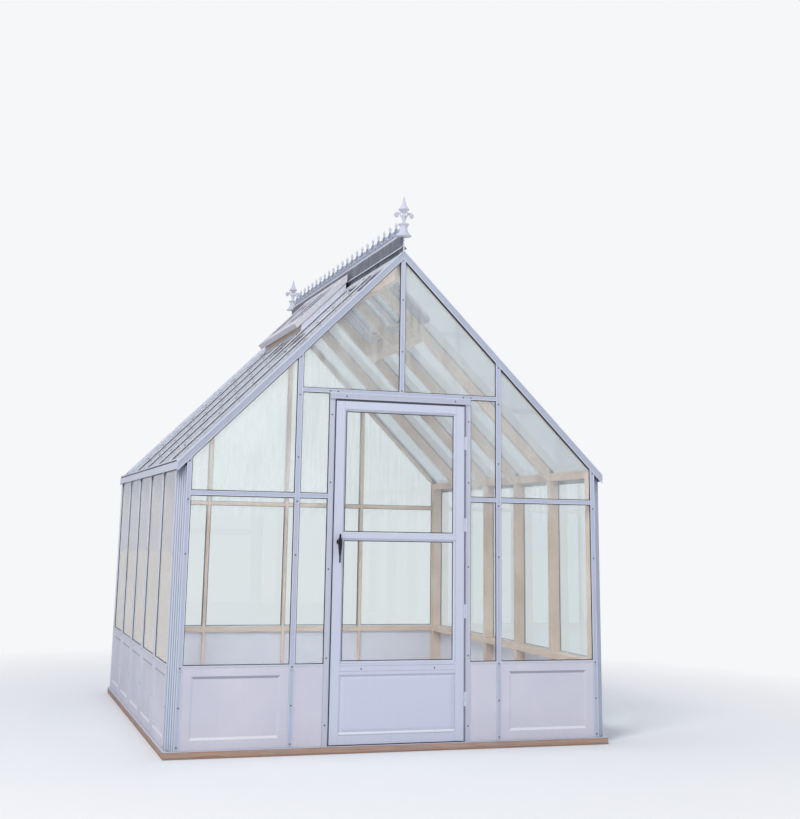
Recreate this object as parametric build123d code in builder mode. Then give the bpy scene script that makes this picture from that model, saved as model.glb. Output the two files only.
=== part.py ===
from build123d import *
import math
import os

# Glass greenhouse: white aluminium glazing bars over a timber frame, a 45 degree
# roof with two vents, a decorated ridge and one hinged door in the front gable.
# Millimetres. +Z is up, the front gable faces -Y and the origin is the centre of
# the footprint box at ground level.

os.makedirs("parts", exist_ok=True)

# Plan
half_width = 1330.0
bay_length = 568.0
bay_count = 5
end_margin = 48.0
mullion_x = 632.0

# Heights above the ground
timber_height = 38.0
lip_thickness = 3.0
sill_height = 485.0
lower_joint_z = 454.0
upper_joint_z = 1371.0
mid_bar_z = 1426.0
head_bar_z = 2042.0
eave_height = 1605.0
roof_pitch = 45.0

# Layers of a wall or a slope, counted inwards from the outer face of the cap strips
cap_depth = 10.0
pane_depth = 6.0
stud_depth = 64.0
gable_stud_depth = 20.0
gable_rafter_depth = 26.0
roof_skin = 4.0
strip_channel = 1.2

# Widths of what shows on the faces
stud_width = 38.0
gable_stud_width = 22.0
strip_width = 30.0
corner_strip_width = 28.0
strip_bead = 4.0
web_width = 6.0
mid_bar_width = 26.0
head_bar_width = 24.0
jamb_strip_width = 35.5
jamb_pane_cover = 12.0
jamb_liner = 4.0
jamb_bead_width = 6.0
jamb_bead_proud = 2.0
jamb_groove_width = 2.0
corner_cover_leg = 50.0
cover_thickness = 6.0
flute_radius = 3.0
flute_pitch = 15.0

# Clearances
joint_gap = 0.4
cap_joint = 1.5
pane_gap = 0.5
swing_gap = 5.0

# Base
timber_width = 90.0
timber_reach = 8.0
lip_reach = 10.0

# Knee walls
sill_rail_height = 38.0
sill_thickness = 8.0
panel_proud = 4.0
panel_margin = 50.0
panel_top_margin = 49.0
panel_bottom_margin = 53.0
recess_depth = 5.0
recess_bevel = 14.0

# Timber of the roof
eave_plate_drop = 27.0
eave_plate_height = 49.0
ridge_beam_depth = 138.0
ridge_beam_width = 38.0

# Trim of the roof
rake_face_thickness = 4.0
rake_face_height = 39.0
rake_bead_height = 6.0
rake_top_bead_proud = 3.0
rake_low_bead_proud = 2.0
rake_groove_width = 2.0
rake_groove_depth = 1.2
rake_return = 50.0
rake_overhang = 5.0
fascia_reach = 8.0
fascia_drop = 48.0
fascia_face_height = 43.0
fascia_groove_height = 6.0
fascia_groove_depth = 4.0
fascia_bead_height = 10.0
fascia_bead_depth = 8.0
fascia_return = 30.0
ridge_web_thickness = 7.0
ridge_web_rise = 115.0
ridge_flange_reach = 22.0
drip_wing_rise = 35.0
drip_wing_reach = 20.0
drip_wing_thickness = 2.5

# Roof vents
vent_rise = 72.0
vent_curb_height = 34.0
vent_curb_width = 22.0
vent_curb_inset = 7.0
vent_lower_x = 350.0
vent_overhang = 29.0
vent_ridge_gap = 2.0
vent_rail_width = 38.0
vent_pane_drop = 8.0
left_vent_first_bay = 2
right_vent_first_bay = 1
vent_bays = 2

# Ridge cresting: each unit is a bell with a spike, and a small lobe joins two units
spike_count = 22
spike_pitch = 124.3
cresting_thickness = 6.0
cresting_band = 9.0
bell_base_half = 45.0
bell_waist_height = 64.0
cresting_tip_height = 100.0
spike_width = 11.0
spike_bulb_rise = 11.0
spike_point_length = 10.0
lobe_height = 32.0
lobe_dip = 0.55
lobe_half_share = 0.1
bell_foot_rise = 4.0
bell_side_rise = 10.0
bell_shoulders = ((0.86, 0.52), (0.64, 0.7), (0.34, 0.82))
scroll_eye_radius = 8.5
scroll_eye_height = 24.0
scroll_eye_x = 23.0
bell_slot_width = 12.0
bell_slot_height = 30.0
lobe_eye_radius = 5.0

# Finials: heights are counted from the top of the ridge web
finial_inset = 10.0
skirt_radius = 50.0
skirt_drop = 23.0
skirt_lip_height = 4.0
skirt_curl_width = 8.0
skirt_curl_rise = 9.0
bell_radius = 31.0
waist_radius = 22.0
waist_height = 33.0
waist_flare = 2.0
collar_radius = 35.0
collar_height = 54.0
collar_thickness = 5.0
collar_slope = 8.0
stem_radius = 9.0
volute_height = 110.0
volute_radius = 14.0
volute_eye_radius = 5.5
volute_x = 48.0
volute_thickness = 12.0
spear_base_height = 147.0
spear_base_radius = 34.0
spear_lip_thickness = 5.0
spear_length = 94.0
spear_taper = ((0.62, 0.2), (0.32, 0.45), (0.15, 0.72))
spear_cup_height = 10.0

# Door
door_half_width = 407.5
door_bottom = 46.0
door_top = 1986.0
door_face = 2.0
door_thickness = 36.0
stile_width = 54.0
bead_width = 12.0
bead_slope = 9.0
bead_setback = 3.0
top_rail_height = 48.0
bottom_rail_height = 55.0
mid_rail_bottom = 1186.0
mid_rail_top = 1211.0
lock_rail_bottom = 424.0
door_pane_depth = 16.0
stop_width = 15.0
stop_depth = 16.0
header_lip_bottom = 1997.0
header_lip_height = 9.0
header_lip_reach = 9.0
header_groove_z = 2020.0
header_groove_width = 2.0
header_groove_depth = 1.5

# Handle and hinges
handle_x = -374.0
handle_top = 1212.0
handle_bottom = 1046.0
handle_reach = 42.0
drop_radius = 13.0
drop_height = 1165.0
drop_tip_radius = 5.0
drop_point_height = 8.0
drop_neck_rise = 35.0
drop_swell_below = 45.0
drop_belly_below = 12.0
drop_belly_above = 8.0
drop_shoulder_above = 25.0
handle_knob_radius = 7.0
handle_edge = 2.0
rose_radius = 15.0
rose_thickness = 5.0
hinge_heights = (278.0, 773.0, 1275.0, 1761.0)
hinge_length = 80.0
hinge_leaf_width = 15.0
hinge_leaf_thickness = 2.5
knuckle_radius = 4.5
knuckle_gap = 1.0
pin_radius = 2.2
pin_clearance = 0.1
pin_setback = 1.0

# Worked out from the sizes above
depth = bay_count * bay_length + 2 * end_margin
finial_reach = skirt_radius - finial_inset
front_reach = max(handle_reach - door_face, finial_reach)
front = (front_reach - finial_reach) / 2 - depth / 2
rear = front + depth
pane_outer = cap_depth
stud_outer = cap_depth + pane_depth
stud_inner = stud_outer + stud_depth
roof_pane_outer = roof_skin + cap_depth
roof_timber = roof_pane_outer + pane_depth
rafter_under = roof_timber + stud_depth
gable_inner = stud_outer + gable_stud_depth
gable_rafter_under = roof_timber + gable_rafter_depth
lip_top = timber_height + lip_thickness
apex_height = eave_height + half_width * math.tan(math.radians(roof_pitch))
eave_plate_bottom = eave_height - eave_plate_drop
eave_plate_top = eave_plate_bottom + eave_plate_height
fascia_bottom = eave_height - fascia_drop
ridge_web_top = apex_height + ridge_web_rise
drip_wing_apex = apex_height + drip_wing_rise
corner_strip_x = half_width - corner_cover_leg - corner_strip_width / 2
jamb_x = door_half_width + swing_gap
header_bottom = door_top + swing_gap
head_web_bottom = head_bar_z - head_bar_width / 2
head_web_top = head_bar_z + head_bar_width / 2
pin_x = door_half_width + swing_gap / 2
pin_depth = door_face - hinge_leaf_thickness - knuckle_radius + pin_setback
door_back = door_face + door_thickness
bar_positions = [front + end_margin + bay_length * k for k in range(1, bay_count)]

# The four walls, each seen from outside: local x runs to the right, local y is up
front_plane = Plane(origin=(0, front, 0), x_dir=(1, 0, 0), z_dir=(0, -1, 0))
rear_plane = Plane(origin=(0, rear, 0), x_dir=(-1, 0, 0), z_dir=(0, 1, 0))
left_plane = Plane(origin=(-half_width, 0, 0), x_dir=(0, -1, 0), z_dir=(-1, 0, 0))
right_plane = Plane(origin=(half_width, 0, 0), x_dir=(0, 1, 0), z_dir=(1, 0, 0))


def roof_z(x, below):
    """Height at x of the roof plane that lies a depth below the outer roof plane."""
    pitch = math.radians(roof_pitch)
    return apex_height - abs(x) * math.tan(pitch) - below / math.cos(pitch)


def wall_slab(plane, outline, outer, inner, mode=Mode.ADD):
    """A flat piece of a wall: its outline in the wall plane, between two depths."""
    with BuildSketch(plane.offset(-outer)) as face:
        Polygon(*outline)
    extrude(face.sketch, amount=outer - inner, mode=mode)


def wall_bar(plane, u0, u1, z0, z1, outer, inner, mode=Mode.ADD):
    """A straight rectangular piece of a wall."""
    wall_slab(plane, [(u0, z0), (u1, z0), (u1, z1), (u0, z1)], outer, inner, mode)


def gable_bar(plane, u0, u1, z0, below, outer, inner, mode=Mode.ADD):
    """An upright piece of a gable whose top follows the roof."""
    top = [(u1, roof_z(u1, below)), (u0, roof_z(u0, below))]
    if u0 < 0 < u1:
        top.insert(1, (0, roof_z(0, below)))
    wall_slab(plane, [(u0, z0), (u1, z0)] + top, outer, inner, mode)


def slope_slab(side, x_high, x_low, over, under, y0, y1, mode=Mode.ADD, square=False):
    """A straight piece of a roof slope, cut plumb, or square at its low end. side is -1 or 1."""
    low_edge_x = x_low + (under - over) * math.sin(math.radians(roof_pitch)) if square else x_low
    with BuildSketch(Plane.XZ.offset(-y0)) as section:
        Polygon(
            (side * x_high, roof_z(x_high, over)),
            (side * low_edge_x, roof_z(low_edge_x, over)),
            (side * x_low, roof_z(x_low, under)),
            (side * x_high, roof_z(x_high, under)),
        )
    extrude(section.sketch, amount=y0 - y1, mode=mode)


# Base: four sill timbers with butt joints, and the white drip lip on top of them
timber_x = half_width + timber_reach
timber_front = front - timber_reach
timber_rear = rear + timber_reach

with BuildPart() as sill_timbers:
    with BuildSketch():
        with Locations((0, timber_front + timber_width / 2), (0, timber_rear - timber_width / 2)):
            Rectangle(2 * timber_x, timber_width)
        side_length = timber_rear - timber_front - 2 * (timber_width + joint_gap)
        with Locations(
            (timber_width / 2 - timber_x, (timber_front + timber_rear) / 2),
            (timber_x - timber_width / 2, (timber_front + timber_rear) / 2),
        ):
            Rectangle(timber_width, side_length)
    extrude(amount=timber_height)
sill_timbers.part.label = "sill_timbers"
export_step(sill_timbers.part, "parts/sill_timbers.step")

lip_x = half_width + lip_reach
lip_width = lip_reach + stud_outer
with BuildPart() as base_lip:
    with BuildSketch(Plane.XY.offset(timber_height)):
        with Locations(
            (0, front - lip_reach + lip_width / 2),
            (0, rear + lip_reach - lip_width / 2),
        ):
            Rectangle(2 * lip_x, lip_width)
        side_length = depth - 2 * (stud_outer + joint_gap)
        with Locations(
            (lip_width / 2 - lip_x, (front + rear) / 2),
            (lip_x - lip_width / 2, (front + rear) / 2),
        ):
            Rectangle(lip_width, side_length)
    extrude(amount=lip_thickness)
base_lip.part.label = "base_lip"
export_step(base_lip.part, "parts/base_lip.step")


# Timber frame. The corner posts are chamfered where the corner covers pass them
post_chamfer = corner_cover_leg - 2 * stud_outer + (cover_thickness + 2) * math.sqrt(2)
post_x = half_width - stud_outer
with BuildPart() as corner_posts:
    for side in (-1, 1):
        for wall_y, inward in ((front, 1), (rear, -1)):
            outer_x = side * post_x
            outer_y = wall_y + inward * stud_outer
            with BuildSketch(Plane.XY.offset(timber_height)) as section:
                Polygon(
                    (outer_x - side * post_chamfer, outer_y),
                    (outer_x, outer_y + inward * post_chamfer),
                    (outer_x, outer_y + inward * stud_depth),
                    (outer_x - side * stud_depth, outer_y + inward * stud_depth),
                    (outer_x - side * stud_depth, outer_y),
                )
            extrude(section.sketch, amount=eave_plate_bottom - timber_height)
corner_posts.part.label = "corner_posts"
export_step(corner_posts.part, "parts/corner_posts.step")

ridge_beam_bottom = roof_z(0, roof_timber) - ridge_beam_depth
half_stud = stud_width / 2
half_gable = gable_stud_width / 2
post_inner_x = post_x - stud_depth


def rails_between(plane, edges, z0, z1, inner):
    """Rails between the studs: edges are the studs' centres and half widths."""
    for (left, left_half), (right, right_half) in zip(edges, edges[1:]):
        start = left + left_half + joint_gap
        wall_bar(plane, start, right - right_half - joint_gap, z0, z1, stud_outer, inner)


def gable_stud(plane, u):
    """A stud that stands on the sill timber and reaches the rafters of the gable."""
    gable_bar(
        plane, u - half_gable, u + half_gable, timber_height,
        gable_rafter_under + joint_gap, stud_outer, gable_inner,
    )


def gable_rails(plane, edges):
    """The sill rails and the middle rails of a gable."""
    rails_between(plane, edges, sill_rail_bottom, sill_rail_top, gable_inner)
    rails_between(plane, edges, mid_bar_z - mid_rail_half, mid_bar_z + mid_rail_half, gable_inner)


jamb_stud = jamb_x + jamb_liner + joint_gap + half_gable
corner_edge = (post_x - stud_depth / 2, stud_depth / 2)
sill_rail_bottom = sill_height - sill_thickness - sill_rail_height
sill_rail_top = sill_height - sill_thickness
mid_rail_half = mid_bar_width / 2
liner_top = header_bottom + jamb_liner

with BuildPart() as front_wall_frame:
    for side in (-1, 1):
        gable_stud(front_plane, side * mullion_x)
        u = side * jamb_stud
        wall_bar(
            front_plane, u - half_gable, u + half_gable, timber_height, liner_top,
            stud_outer, gable_inner,
        )
        inner = (side * jamb_stud, half_gable)
        middle = (side * mullion_x, half_gable)
        outer = (side * corner_edge[0], corner_edge[1])
        for pair in ((inner, middle), (middle, outer)):
            gable_rails(front_plane, sorted(pair))
    mullions = [(-mullion_x, half_gable), (mullion_x, half_gable)]
    rails_between(front_plane, mullions, head_web_bottom, head_web_top, gable_inner)
    wall_bar(
        front_plane, -jamb_stud - half_gable, jamb_stud + half_gable,
        liner_top + joint_gap, head_web_bottom - joint_gap, stud_outer, gable_inner,
    )
    gable_bar(
        front_plane, -half_gable, half_gable, head_web_top + joint_gap,
        gable_rafter_under + joint_gap, stud_outer, gable_inner,
    )
front_wall_frame.part.label = "front_wall_frame"
export_step(front_wall_frame.part, "parts/front_wall_frame.step")

with BuildPart() as rear_wall_frame:
    for u in (-mullion_x, 0, mullion_x):
        gable_stud(rear_plane, u)
    gable_rails(rear_plane, [
        (-corner_edge[0], corner_edge[1]), (-mullion_x, half_gable), (0, half_gable),
        (mullion_x, half_gable), corner_edge,
    ])
rear_wall_frame.part.label = "rear_wall_frame"
export_step(rear_wall_frame.part, "parts/rear_wall_frame.step")


def side_wall(plane, turn):
    """Posts and sill rails of a side wall. turn is the sign of local x along +Y."""
    places = sorted(turn * y for y in bar_positions)
    for u in places:
        wall_bar(
            plane, u - half_stud, u + half_stud, timber_height,
            eave_plate_bottom - joint_gap, stud_outer, stud_inner,
        )
    ends = sorted(turn * y for y in (front + stud_inner, rear - stud_inner))
    edges = [(ends[0], 0)] + [(u, half_stud) for u in places] + [(ends[1], 0)]
    rails_between(plane, edges, sill_rail_bottom, sill_rail_top, stud_inner)


with BuildPart() as left_wall_frame:
    side_wall(left_plane, -1)
left_wall_frame.part.label = "left_wall_frame"
export_step(left_wall_frame.part, "parts/left_wall_frame.step")

with BuildPart() as right_wall_frame:
    side_wall(right_plane, 1)
right_wall_frame.part.label = "right_wall_frame"
export_step(right_wall_frame.part, "parts/right_wall_frame.step")

with BuildPart() as eave_plates:
    plate_break_x = (roof_z(0, roof_timber) - eave_plate_top) / math.tan(math.radians(roof_pitch))
    for side in (-1, 1):
        with BuildSketch(Plane.XZ.offset(-(front + stud_outer))) as section:
            Polygon(
                (side * post_x, eave_plate_bottom),
                (side * post_x, roof_z(post_x, roof_timber)),
                (side * plate_break_x, eave_plate_top),
                (side * post_inner_x, eave_plate_top),
                (side * post_inner_x, eave_plate_bottom),
            )
        extrude(section.sketch, amount=-(depth - 2 * stud_outer))
eave_plates.part.label = "eave_plates"
export_step(eave_plates.part, "parts/eave_plates.step")

with BuildPart() as ridge_beam:
    half_beam = ridge_beam_width / 2
    beam_end = gable_inner + joint_gap
    with BuildSketch(Plane.XZ.offset(-(front + beam_end))) as section:
        Polygon(
            (-half_beam, ridge_beam_bottom),
            (half_beam, ridge_beam_bottom),
            (half_beam, roof_z(half_beam, roof_timber)),
            (0, roof_z(0, roof_timber)),
            (-half_beam, roof_z(half_beam, roof_timber)),
        )
    extrude(section.sketch, amount=-(depth - 2 * beam_end))
ridge_beam.part.label = "ridge_beam"
export_step(ridge_beam.part, "parts/ridge_beam.step")

rafter_high_x = ridge_beam_width / 2 + joint_gap
rafter_low_x = post_inner_x - joint_gap
half_strip = strip_width / 2
half_ridge = ridge_web_thickness / 2
ridge_flange_x = half_ridge + ridge_flange_reach


def vent_bars(first_bay):
    """The three bar positions that a vent spans: its two ends and its middle."""
    return [front + end_margin + bay_length * (first_bay + k) for k in range(vent_bays + 1)]


curb_high_x = ridge_flange_x + vent_ridge_gap + vent_curb_inset
curb_over = roof_skin - vent_curb_height


def vent_curb_ends(bars):
    """The Y ranges of a vent's two side rails, a little inside the edge of its sash."""
    y_first = bars[0] - half_strip + vent_curb_inset
    y_last = bars[-1] + half_strip - vent_curb_inset
    return [(y_first, y_first + vent_curb_width), (y_last - vent_curb_width, y_last)]


def vent_curb(side, bars):
    """The timber curb under the upper and the lower edge of a vent's sash."""
    first, last = vent_curb_ends(bars)
    for x0, x1 in (
        (curb_high_x, curb_high_x + vent_curb_width),
        (vent_lower_x - vent_curb_width, vent_lower_x),
    ):
        slope_slab(side, x0, x1, curb_over, roof_skin, first[1] + joint_gap, last[0] - joint_gap)


def rafters(side, first_bay):
    """Rafters of one slope, the slim ones over the gables, and the vent's headers and curb."""
    for y in bar_positions:
        slope_slab(side, rafter_high_x, rafter_low_x, roof_timber, rafter_under, y - half_stud, y + half_stud)
    for y0, y1 in (
        (front + stud_outer, front + gable_inner),
        (rear - gable_inner, rear - stud_outer),
    ):
        slope_slab(side, half_gable + joint_gap, rafter_low_x, roof_timber, gable_rafter_under, y0, y1)
    bars = vent_bars(first_bay)
    for y0, y1 in zip(bars, bars[1:]):
        slope_slab(
            side, vent_lower_x - stud_width, vent_lower_x, roof_timber, rafter_under,
            y0 + half_stud + joint_gap, y1 - half_stud - joint_gap,
        )
    vent_curb(side, bars)


with BuildPart() as rafters_left:
    rafters(-1, left_vent_first_bay)
rafters_left.part.label = "rafters_left"
export_step(rafters_left.part, "parts/rafters_left.step")

with BuildPart() as rafters_right:
    rafters(1, right_vent_first_bay)
rafters_right.part.label = "rafters_right"
export_step(rafters_right.part, "parts/rafters_right.step")


# Knee walls: white panels with a recessed border, held at their edges like the panes
def knee_panel(plane, left_web, right_web, left_edge, right_edge, bordered):
    """One panel between two webs, showing between the edges of two cap strips."""
    z0 = lip_top
    z1 = sill_height - sill_thickness
    wall_bar(plane, left_web, right_web, z0, z1, pane_outer, stud_outer)
    wall_bar(plane, left_edge, right_edge, z0, z1, panel_proud, pane_outer)
    if bordered:
        width = right_edge - left_edge - 2 * panel_margin
        z_low = z0 + panel_bottom_margin
        z_high = z1 - panel_top_margin
        centre = ((left_edge + right_edge) / 2, (z_low + z_high) / 2)
        with BuildSketch(plane.offset(-panel_proud)) as recess:
            with Locations(centre):
                Rectangle(width, z_high - z_low)
        with BuildSketch(plane.offset(-panel_proud - recess_depth)) as floor:
            with Locations(centre):
                Rectangle(width - 2 * recess_bevel, z_high - z_low - 2 * recess_bevel)
        loft([recess.sketch.face(), floor.sketch.face()], mode=Mode.SUBTRACT)


def knee_panels(plane, strips, plain=()):
    """Panels between strips, each given as its centre, half width and web half width."""
    for index, (left, right) in enumerate(zip(strips, strips[1:])):
        knee_panel(
            plane,
            left[0] + left[2] + pane_gap, right[0] - right[2] - pane_gap,
            left[0] + left[1] + pane_gap, right[0] - right[1] - pane_gap,
            index not in plain,
        )


half_corner = corner_strip_width / 2
half_web = web_width / 2
corner_strip = (corner_strip_x, half_corner, half_web)
mullion_strip = (mullion_x, half_strip, half_web)
centre_strip = (0, half_corner, half_web)
jamb_centre = jamb_x + jamb_strip_width / 2
jamb_strip = (jamb_centre, jamb_strip_width / 2, jamb_strip_width / 2 - jamb_pane_cover)


def mirrored(strip):
    """The same strip on the other side of the centre line."""
    return (-strip[0], strip[1], strip[2])


left_front_strips = [mirrored(corner_strip), mirrored(mullion_strip), mirrored(jamb_strip)]
right_front_strips = [jamb_strip, mullion_strip, corner_strip]
rear_strips = [
    mirrored(corner_strip), mirrored(mullion_strip), centre_strip, mullion_strip, corner_strip,
]
corner_strip_y = corner_cover_leg + half_corner


def side_strips(turn):
    """Strips of a side wall from end to end, in the wall's own direction."""
    ends = sorted(turn * y for y in (front + corner_strip_y, rear - corner_strip_y))
    inner = [(u, half_strip, half_web) for u in sorted(turn * y for y in bar_positions)]
    return [(ends[0], half_corner, half_web)] + inner + [(ends[1], half_corner, half_web)]


with BuildPart() as front_knee_panels:
    knee_panels(front_plane, left_front_strips, plain=(1,))
    knee_panels(front_plane, right_front_strips, plain=(0,))
front_knee_panels.part.label = "front_knee_panels"
export_step(front_knee_panels.part, "parts/front_knee_panels.step")

with BuildPart() as rear_knee_panels:
    knee_panels(rear_plane, rear_strips)
rear_knee_panels.part.label = "rear_knee_panels"
export_step(rear_knee_panels.part, "parts/rear_knee_panels.step")

with BuildPart() as left_knee_panels:
    knee_panels(left_plane, side_strips(-1))
left_knee_panels.part.label = "left_knee_panels"
export_step(left_knee_panels.part, "parts/left_knee_panels.step")

with BuildPart() as right_knee_panels:
    knee_panels(right_plane, side_strips(1))
right_knee_panels.part.label = "right_knee_panels"
export_step(right_knee_panels.part, "parts/right_knee_panels.step")


def sills(plane, strips):
    """Sills between the strips, on top of the knee panels."""
    for left, right in zip(strips, strips[1:]):
        u0 = left[0] + left[1] + pane_gap
        u1 = right[0] - right[1] - pane_gap
        z0 = sill_height - sill_thickness + joint_gap
        wall_bar(plane, u0, u1, z0, sill_height, 0, stud_outer)


with BuildPart() as wall_sills:
    sills(front_plane, left_front_strips)
    sills(front_plane, right_front_strips)
    sills(rear_plane, rear_strips)
    sills(left_plane, side_strips(-1))
    sills(right_plane, side_strips(1))
wall_sills.part.label = "wall_sills"
export_step(wall_sills.part, "parts/wall_sills.step")


# White corner covers: a bent strip across each corner with upright flutes
cover_top = roof_z(half_width, roof_timber)
with BuildPart() as corner_covers:
    for side in (-1, 1):
        for wall_y, inward in ((front, 1), (rear, -1)):
            first = Vector(side * (half_width - corner_cover_leg + joint_gap), wall_y)
            last = Vector(side * half_width, wall_y + inward * (corner_cover_leg - joint_gap))
            inner_first = first + Vector(0, inward * cover_thickness * math.sqrt(2))
            inner_last = last + Vector(-side * cover_thickness * math.sqrt(2), 0)
            middle = (first + last) * 0.5
            along = (last - first).normalized()
            with BuildSketch(Plane.XY.offset(lip_top)) as section:
                Polygon(first, last, inner_last, inner_first)
                with Locations(*[middle + along * (flute_pitch * k) for k in (-1, 0, 1)]):
                    Circle(flute_radius, mode=Mode.SUBTRACT)
            extrude(section.sketch, amount=cover_top - lip_top)
corner_covers.part.label = "corner_covers"
export_step(corner_covers.part, "parts/corner_covers.step")


# Cap strips: a flat flange outside the panes and a narrow web between them
def cap_upright(plane, strip, z0, z1):
    """A straight length of cap strip."""
    centre, half, web = strip
    inner_half = half - strip_bead
    wall_bar(plane, centre - half, centre + half, z0, z1, 0, cap_depth)
    wall_bar(plane, centre - inner_half, centre + inner_half, z0, z1, 0, strip_channel, Mode.SUBTRACT)
    wall_bar(plane, centre - web, centre + web, z0, z1, cap_depth, stud_outer)


def cap_to_roof(plane, strip, z0):
    """The top length of a gable's cap strip, cut to the roof."""
    centre, half, web = strip
    inner_half = half - strip_bead
    gable_bar(plane, centre - half, centre + half, z0, roof_timber, 0, cap_depth)
    gable_bar(
        plane, centre - inner_half, centre + inner_half, z0, 0, 0, strip_channel, Mode.SUBTRACT,
    )
    gable_bar(plane, centre - web, centre + web, z0, roof_timber, cap_depth, stud_outer)


def gable_cap(plane, strip):
    """The three lengths of cap strip that cover a full-height gable stud."""
    cap_upright(plane, strip, lip_top, lower_joint_z - cap_joint / 2)
    cap_upright(plane, strip, lower_joint_z + cap_joint / 2, upper_joint_z - cap_joint / 2)
    cap_to_roof(plane, strip, upper_joint_z + cap_joint / 2)


def cross_bar(plane, left, right, z, width):
    """A horizontal bar between two strips."""
    half = width / 2
    u0 = left[0] + left[1] + joint_gap
    u1 = right[0] - right[1] - joint_gap
    inner_half = half - strip_bead
    wall_bar(plane, u0, u1, z - half, z + half, 0, cap_depth)
    wall_bar(plane, u0, u1, z - inner_half, z + inner_half, 0, strip_channel, Mode.SUBTRACT)
    wall_bar(plane, u0, u1, z - half_web, z + half_web, cap_depth, stud_outer)


with BuildPart() as front_caps:
    for strip in (corner_strip, mullion_strip):
        gable_cap(front_plane, strip)
        gable_cap(front_plane, mirrored(strip))
    cap_to_roof(front_plane, centre_strip, head_web_top + joint_gap)
    for strips in (left_front_strips, right_front_strips):
        for left, right in zip(strips, strips[1:]):
            cross_bar(front_plane, left, right, mid_bar_z, mid_bar_width)
    cross_bar(front_plane, mirrored(mullion_strip), mullion_strip, head_bar_z, head_bar_width)
front_caps.part.label = "front_caps"
export_step(front_caps.part, "parts/front_caps.step")

with BuildPart() as rear_caps:
    for strip in (mirrored(corner_strip), mirrored(mullion_strip), centre_strip, mullion_strip, corner_strip):
        gable_cap(rear_plane, strip)
    for left, right in zip(rear_strips, rear_strips[1:]):
        cross_bar(rear_plane, left, right, mid_bar_z, mid_bar_width)
rear_caps.part.label = "rear_caps"
export_step(rear_caps.part, "parts/rear_caps.step")


def side_caps(plane, turn):
    """Cap strips of a side wall, in two lengths with a joint below the sill."""
    for strip in side_strips(turn):
        cap_upright(plane, strip, lip_top, lower_joint_z - cap_joint / 2)
        cap_upright(plane, strip, lower_joint_z + cap_joint / 2, cover_top)


with BuildPart() as left_caps:
    side_caps(left_plane, -1)
left_caps.part.label = "left_caps"
export_step(left_caps.part, "parts/left_caps.step")

with BuildPart() as right_caps:
    side_caps(right_plane, 1)
right_caps.part.label = "right_caps"
export_step(right_caps.part, "parts/right_caps.step")


# Panes
def pane(plane, left, right, z0, z1):
    """A rectangular pane between two webs."""
    u0 = left[0] + left[2] + pane_gap
    u1 = right[0] - right[2] - pane_gap
    wall_bar(plane, u0, u1, z0, z1, pane_outer, stud_outer)


def gable_pane(plane, left, right, z0):
    """A pane whose top edge follows the roof."""
    u0 = left[0] + left[2] + pane_gap
    u1 = right[0] - right[2] - pane_gap
    gable_bar(plane, u0, u1, z0, roof_timber, pane_outer, stud_outer)


mid_web_low = mid_bar_z - half_web - pane_gap
mid_web_high = mid_bar_z + half_web + pane_gap
with BuildPart() as front_glass:
    outer_left, mullion_left, jamb_left = left_front_strips
    jamb_right, mullion_right, outer_right = right_front_strips
    for left, right in ((outer_left, mullion_left), (mullion_right, outer_right)):
        pane(front_plane, left, right, sill_height, mid_web_low)
        gable_pane(front_plane, left, right, mid_web_high)
    for left, right in ((mullion_left, jamb_left), (jamb_right, mullion_right)):
        pane(front_plane, left, right, sill_height, mid_web_low)
        pane(front_plane, left, right, mid_web_high, head_bar_z - half_web - pane_gap)
    for left, right in ((mullion_left, centre_strip), (centre_strip, mullion_right)):
        gable_pane(front_plane, left, right, head_bar_z + half_web + pane_gap)
front_glass.part.label = "front_glass"
export_step(front_glass.part, "parts/front_glass.step")

with BuildPart() as rear_glass:
    for left, right in zip(rear_strips, rear_strips[1:]):
        pane(rear_plane, left, right, sill_height, mid_web_low)
        gable_pane(rear_plane, left, right, mid_web_high)
rear_glass.part.label = "rear_glass"
export_step(rear_glass.part, "parts/rear_glass.step")

with BuildPart() as left_glass:
    strips = side_strips(-1)
    for left, right in zip(strips, strips[1:]):
        pane(left_plane, left, right, sill_height, cover_top)
left_glass.part.label = "left_glass"
export_step(left_glass.part, "parts/left_glass.step")

with BuildPart() as right_glass:
    strips = side_strips(1)
    for left, right in zip(strips, strips[1:]):
        pane(right_plane, left, right, sill_height, cover_top)
right_glass.part.label = "right_glass"
export_step(right_glass.part, "parts/right_glass.step")


# Door frame: white jamb strips with a bead along the door, liners that carry the stops,
# and the header with its drip lip
header_x = jamb_x - joint_gap
header_flange_x = jamb_x + jamb_strip_width
header_web_x = header_flange_x - jamb_pane_cover
stop_outer = door_back + swing_gap
stop_inner = stop_outer + stop_depth
jamb_top = header_lip_bottom - joint_gap
hinge_gap = hinge_length / 2 + knuckle_gap
latch_beads = [(lip_top, jamb_top)]
hinge_beads = list(zip(
    [lip_top] + [z + hinge_gap for z in hinge_heights],
    [z - hinge_gap for z in hinge_heights] + [jamb_top],
))


def jamb_bar(side, near, far, z0, z1, outer, inner, mode=Mode.ADD):
    """An upright bar of a jamb, near and far counted from the opening's edge."""
    edges = sorted((side * (jamb_x + near), side * (jamb_x + far)))
    wall_bar(front_plane, edges[0], edges[1], z0, z1, outer, inner, mode)


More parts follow.
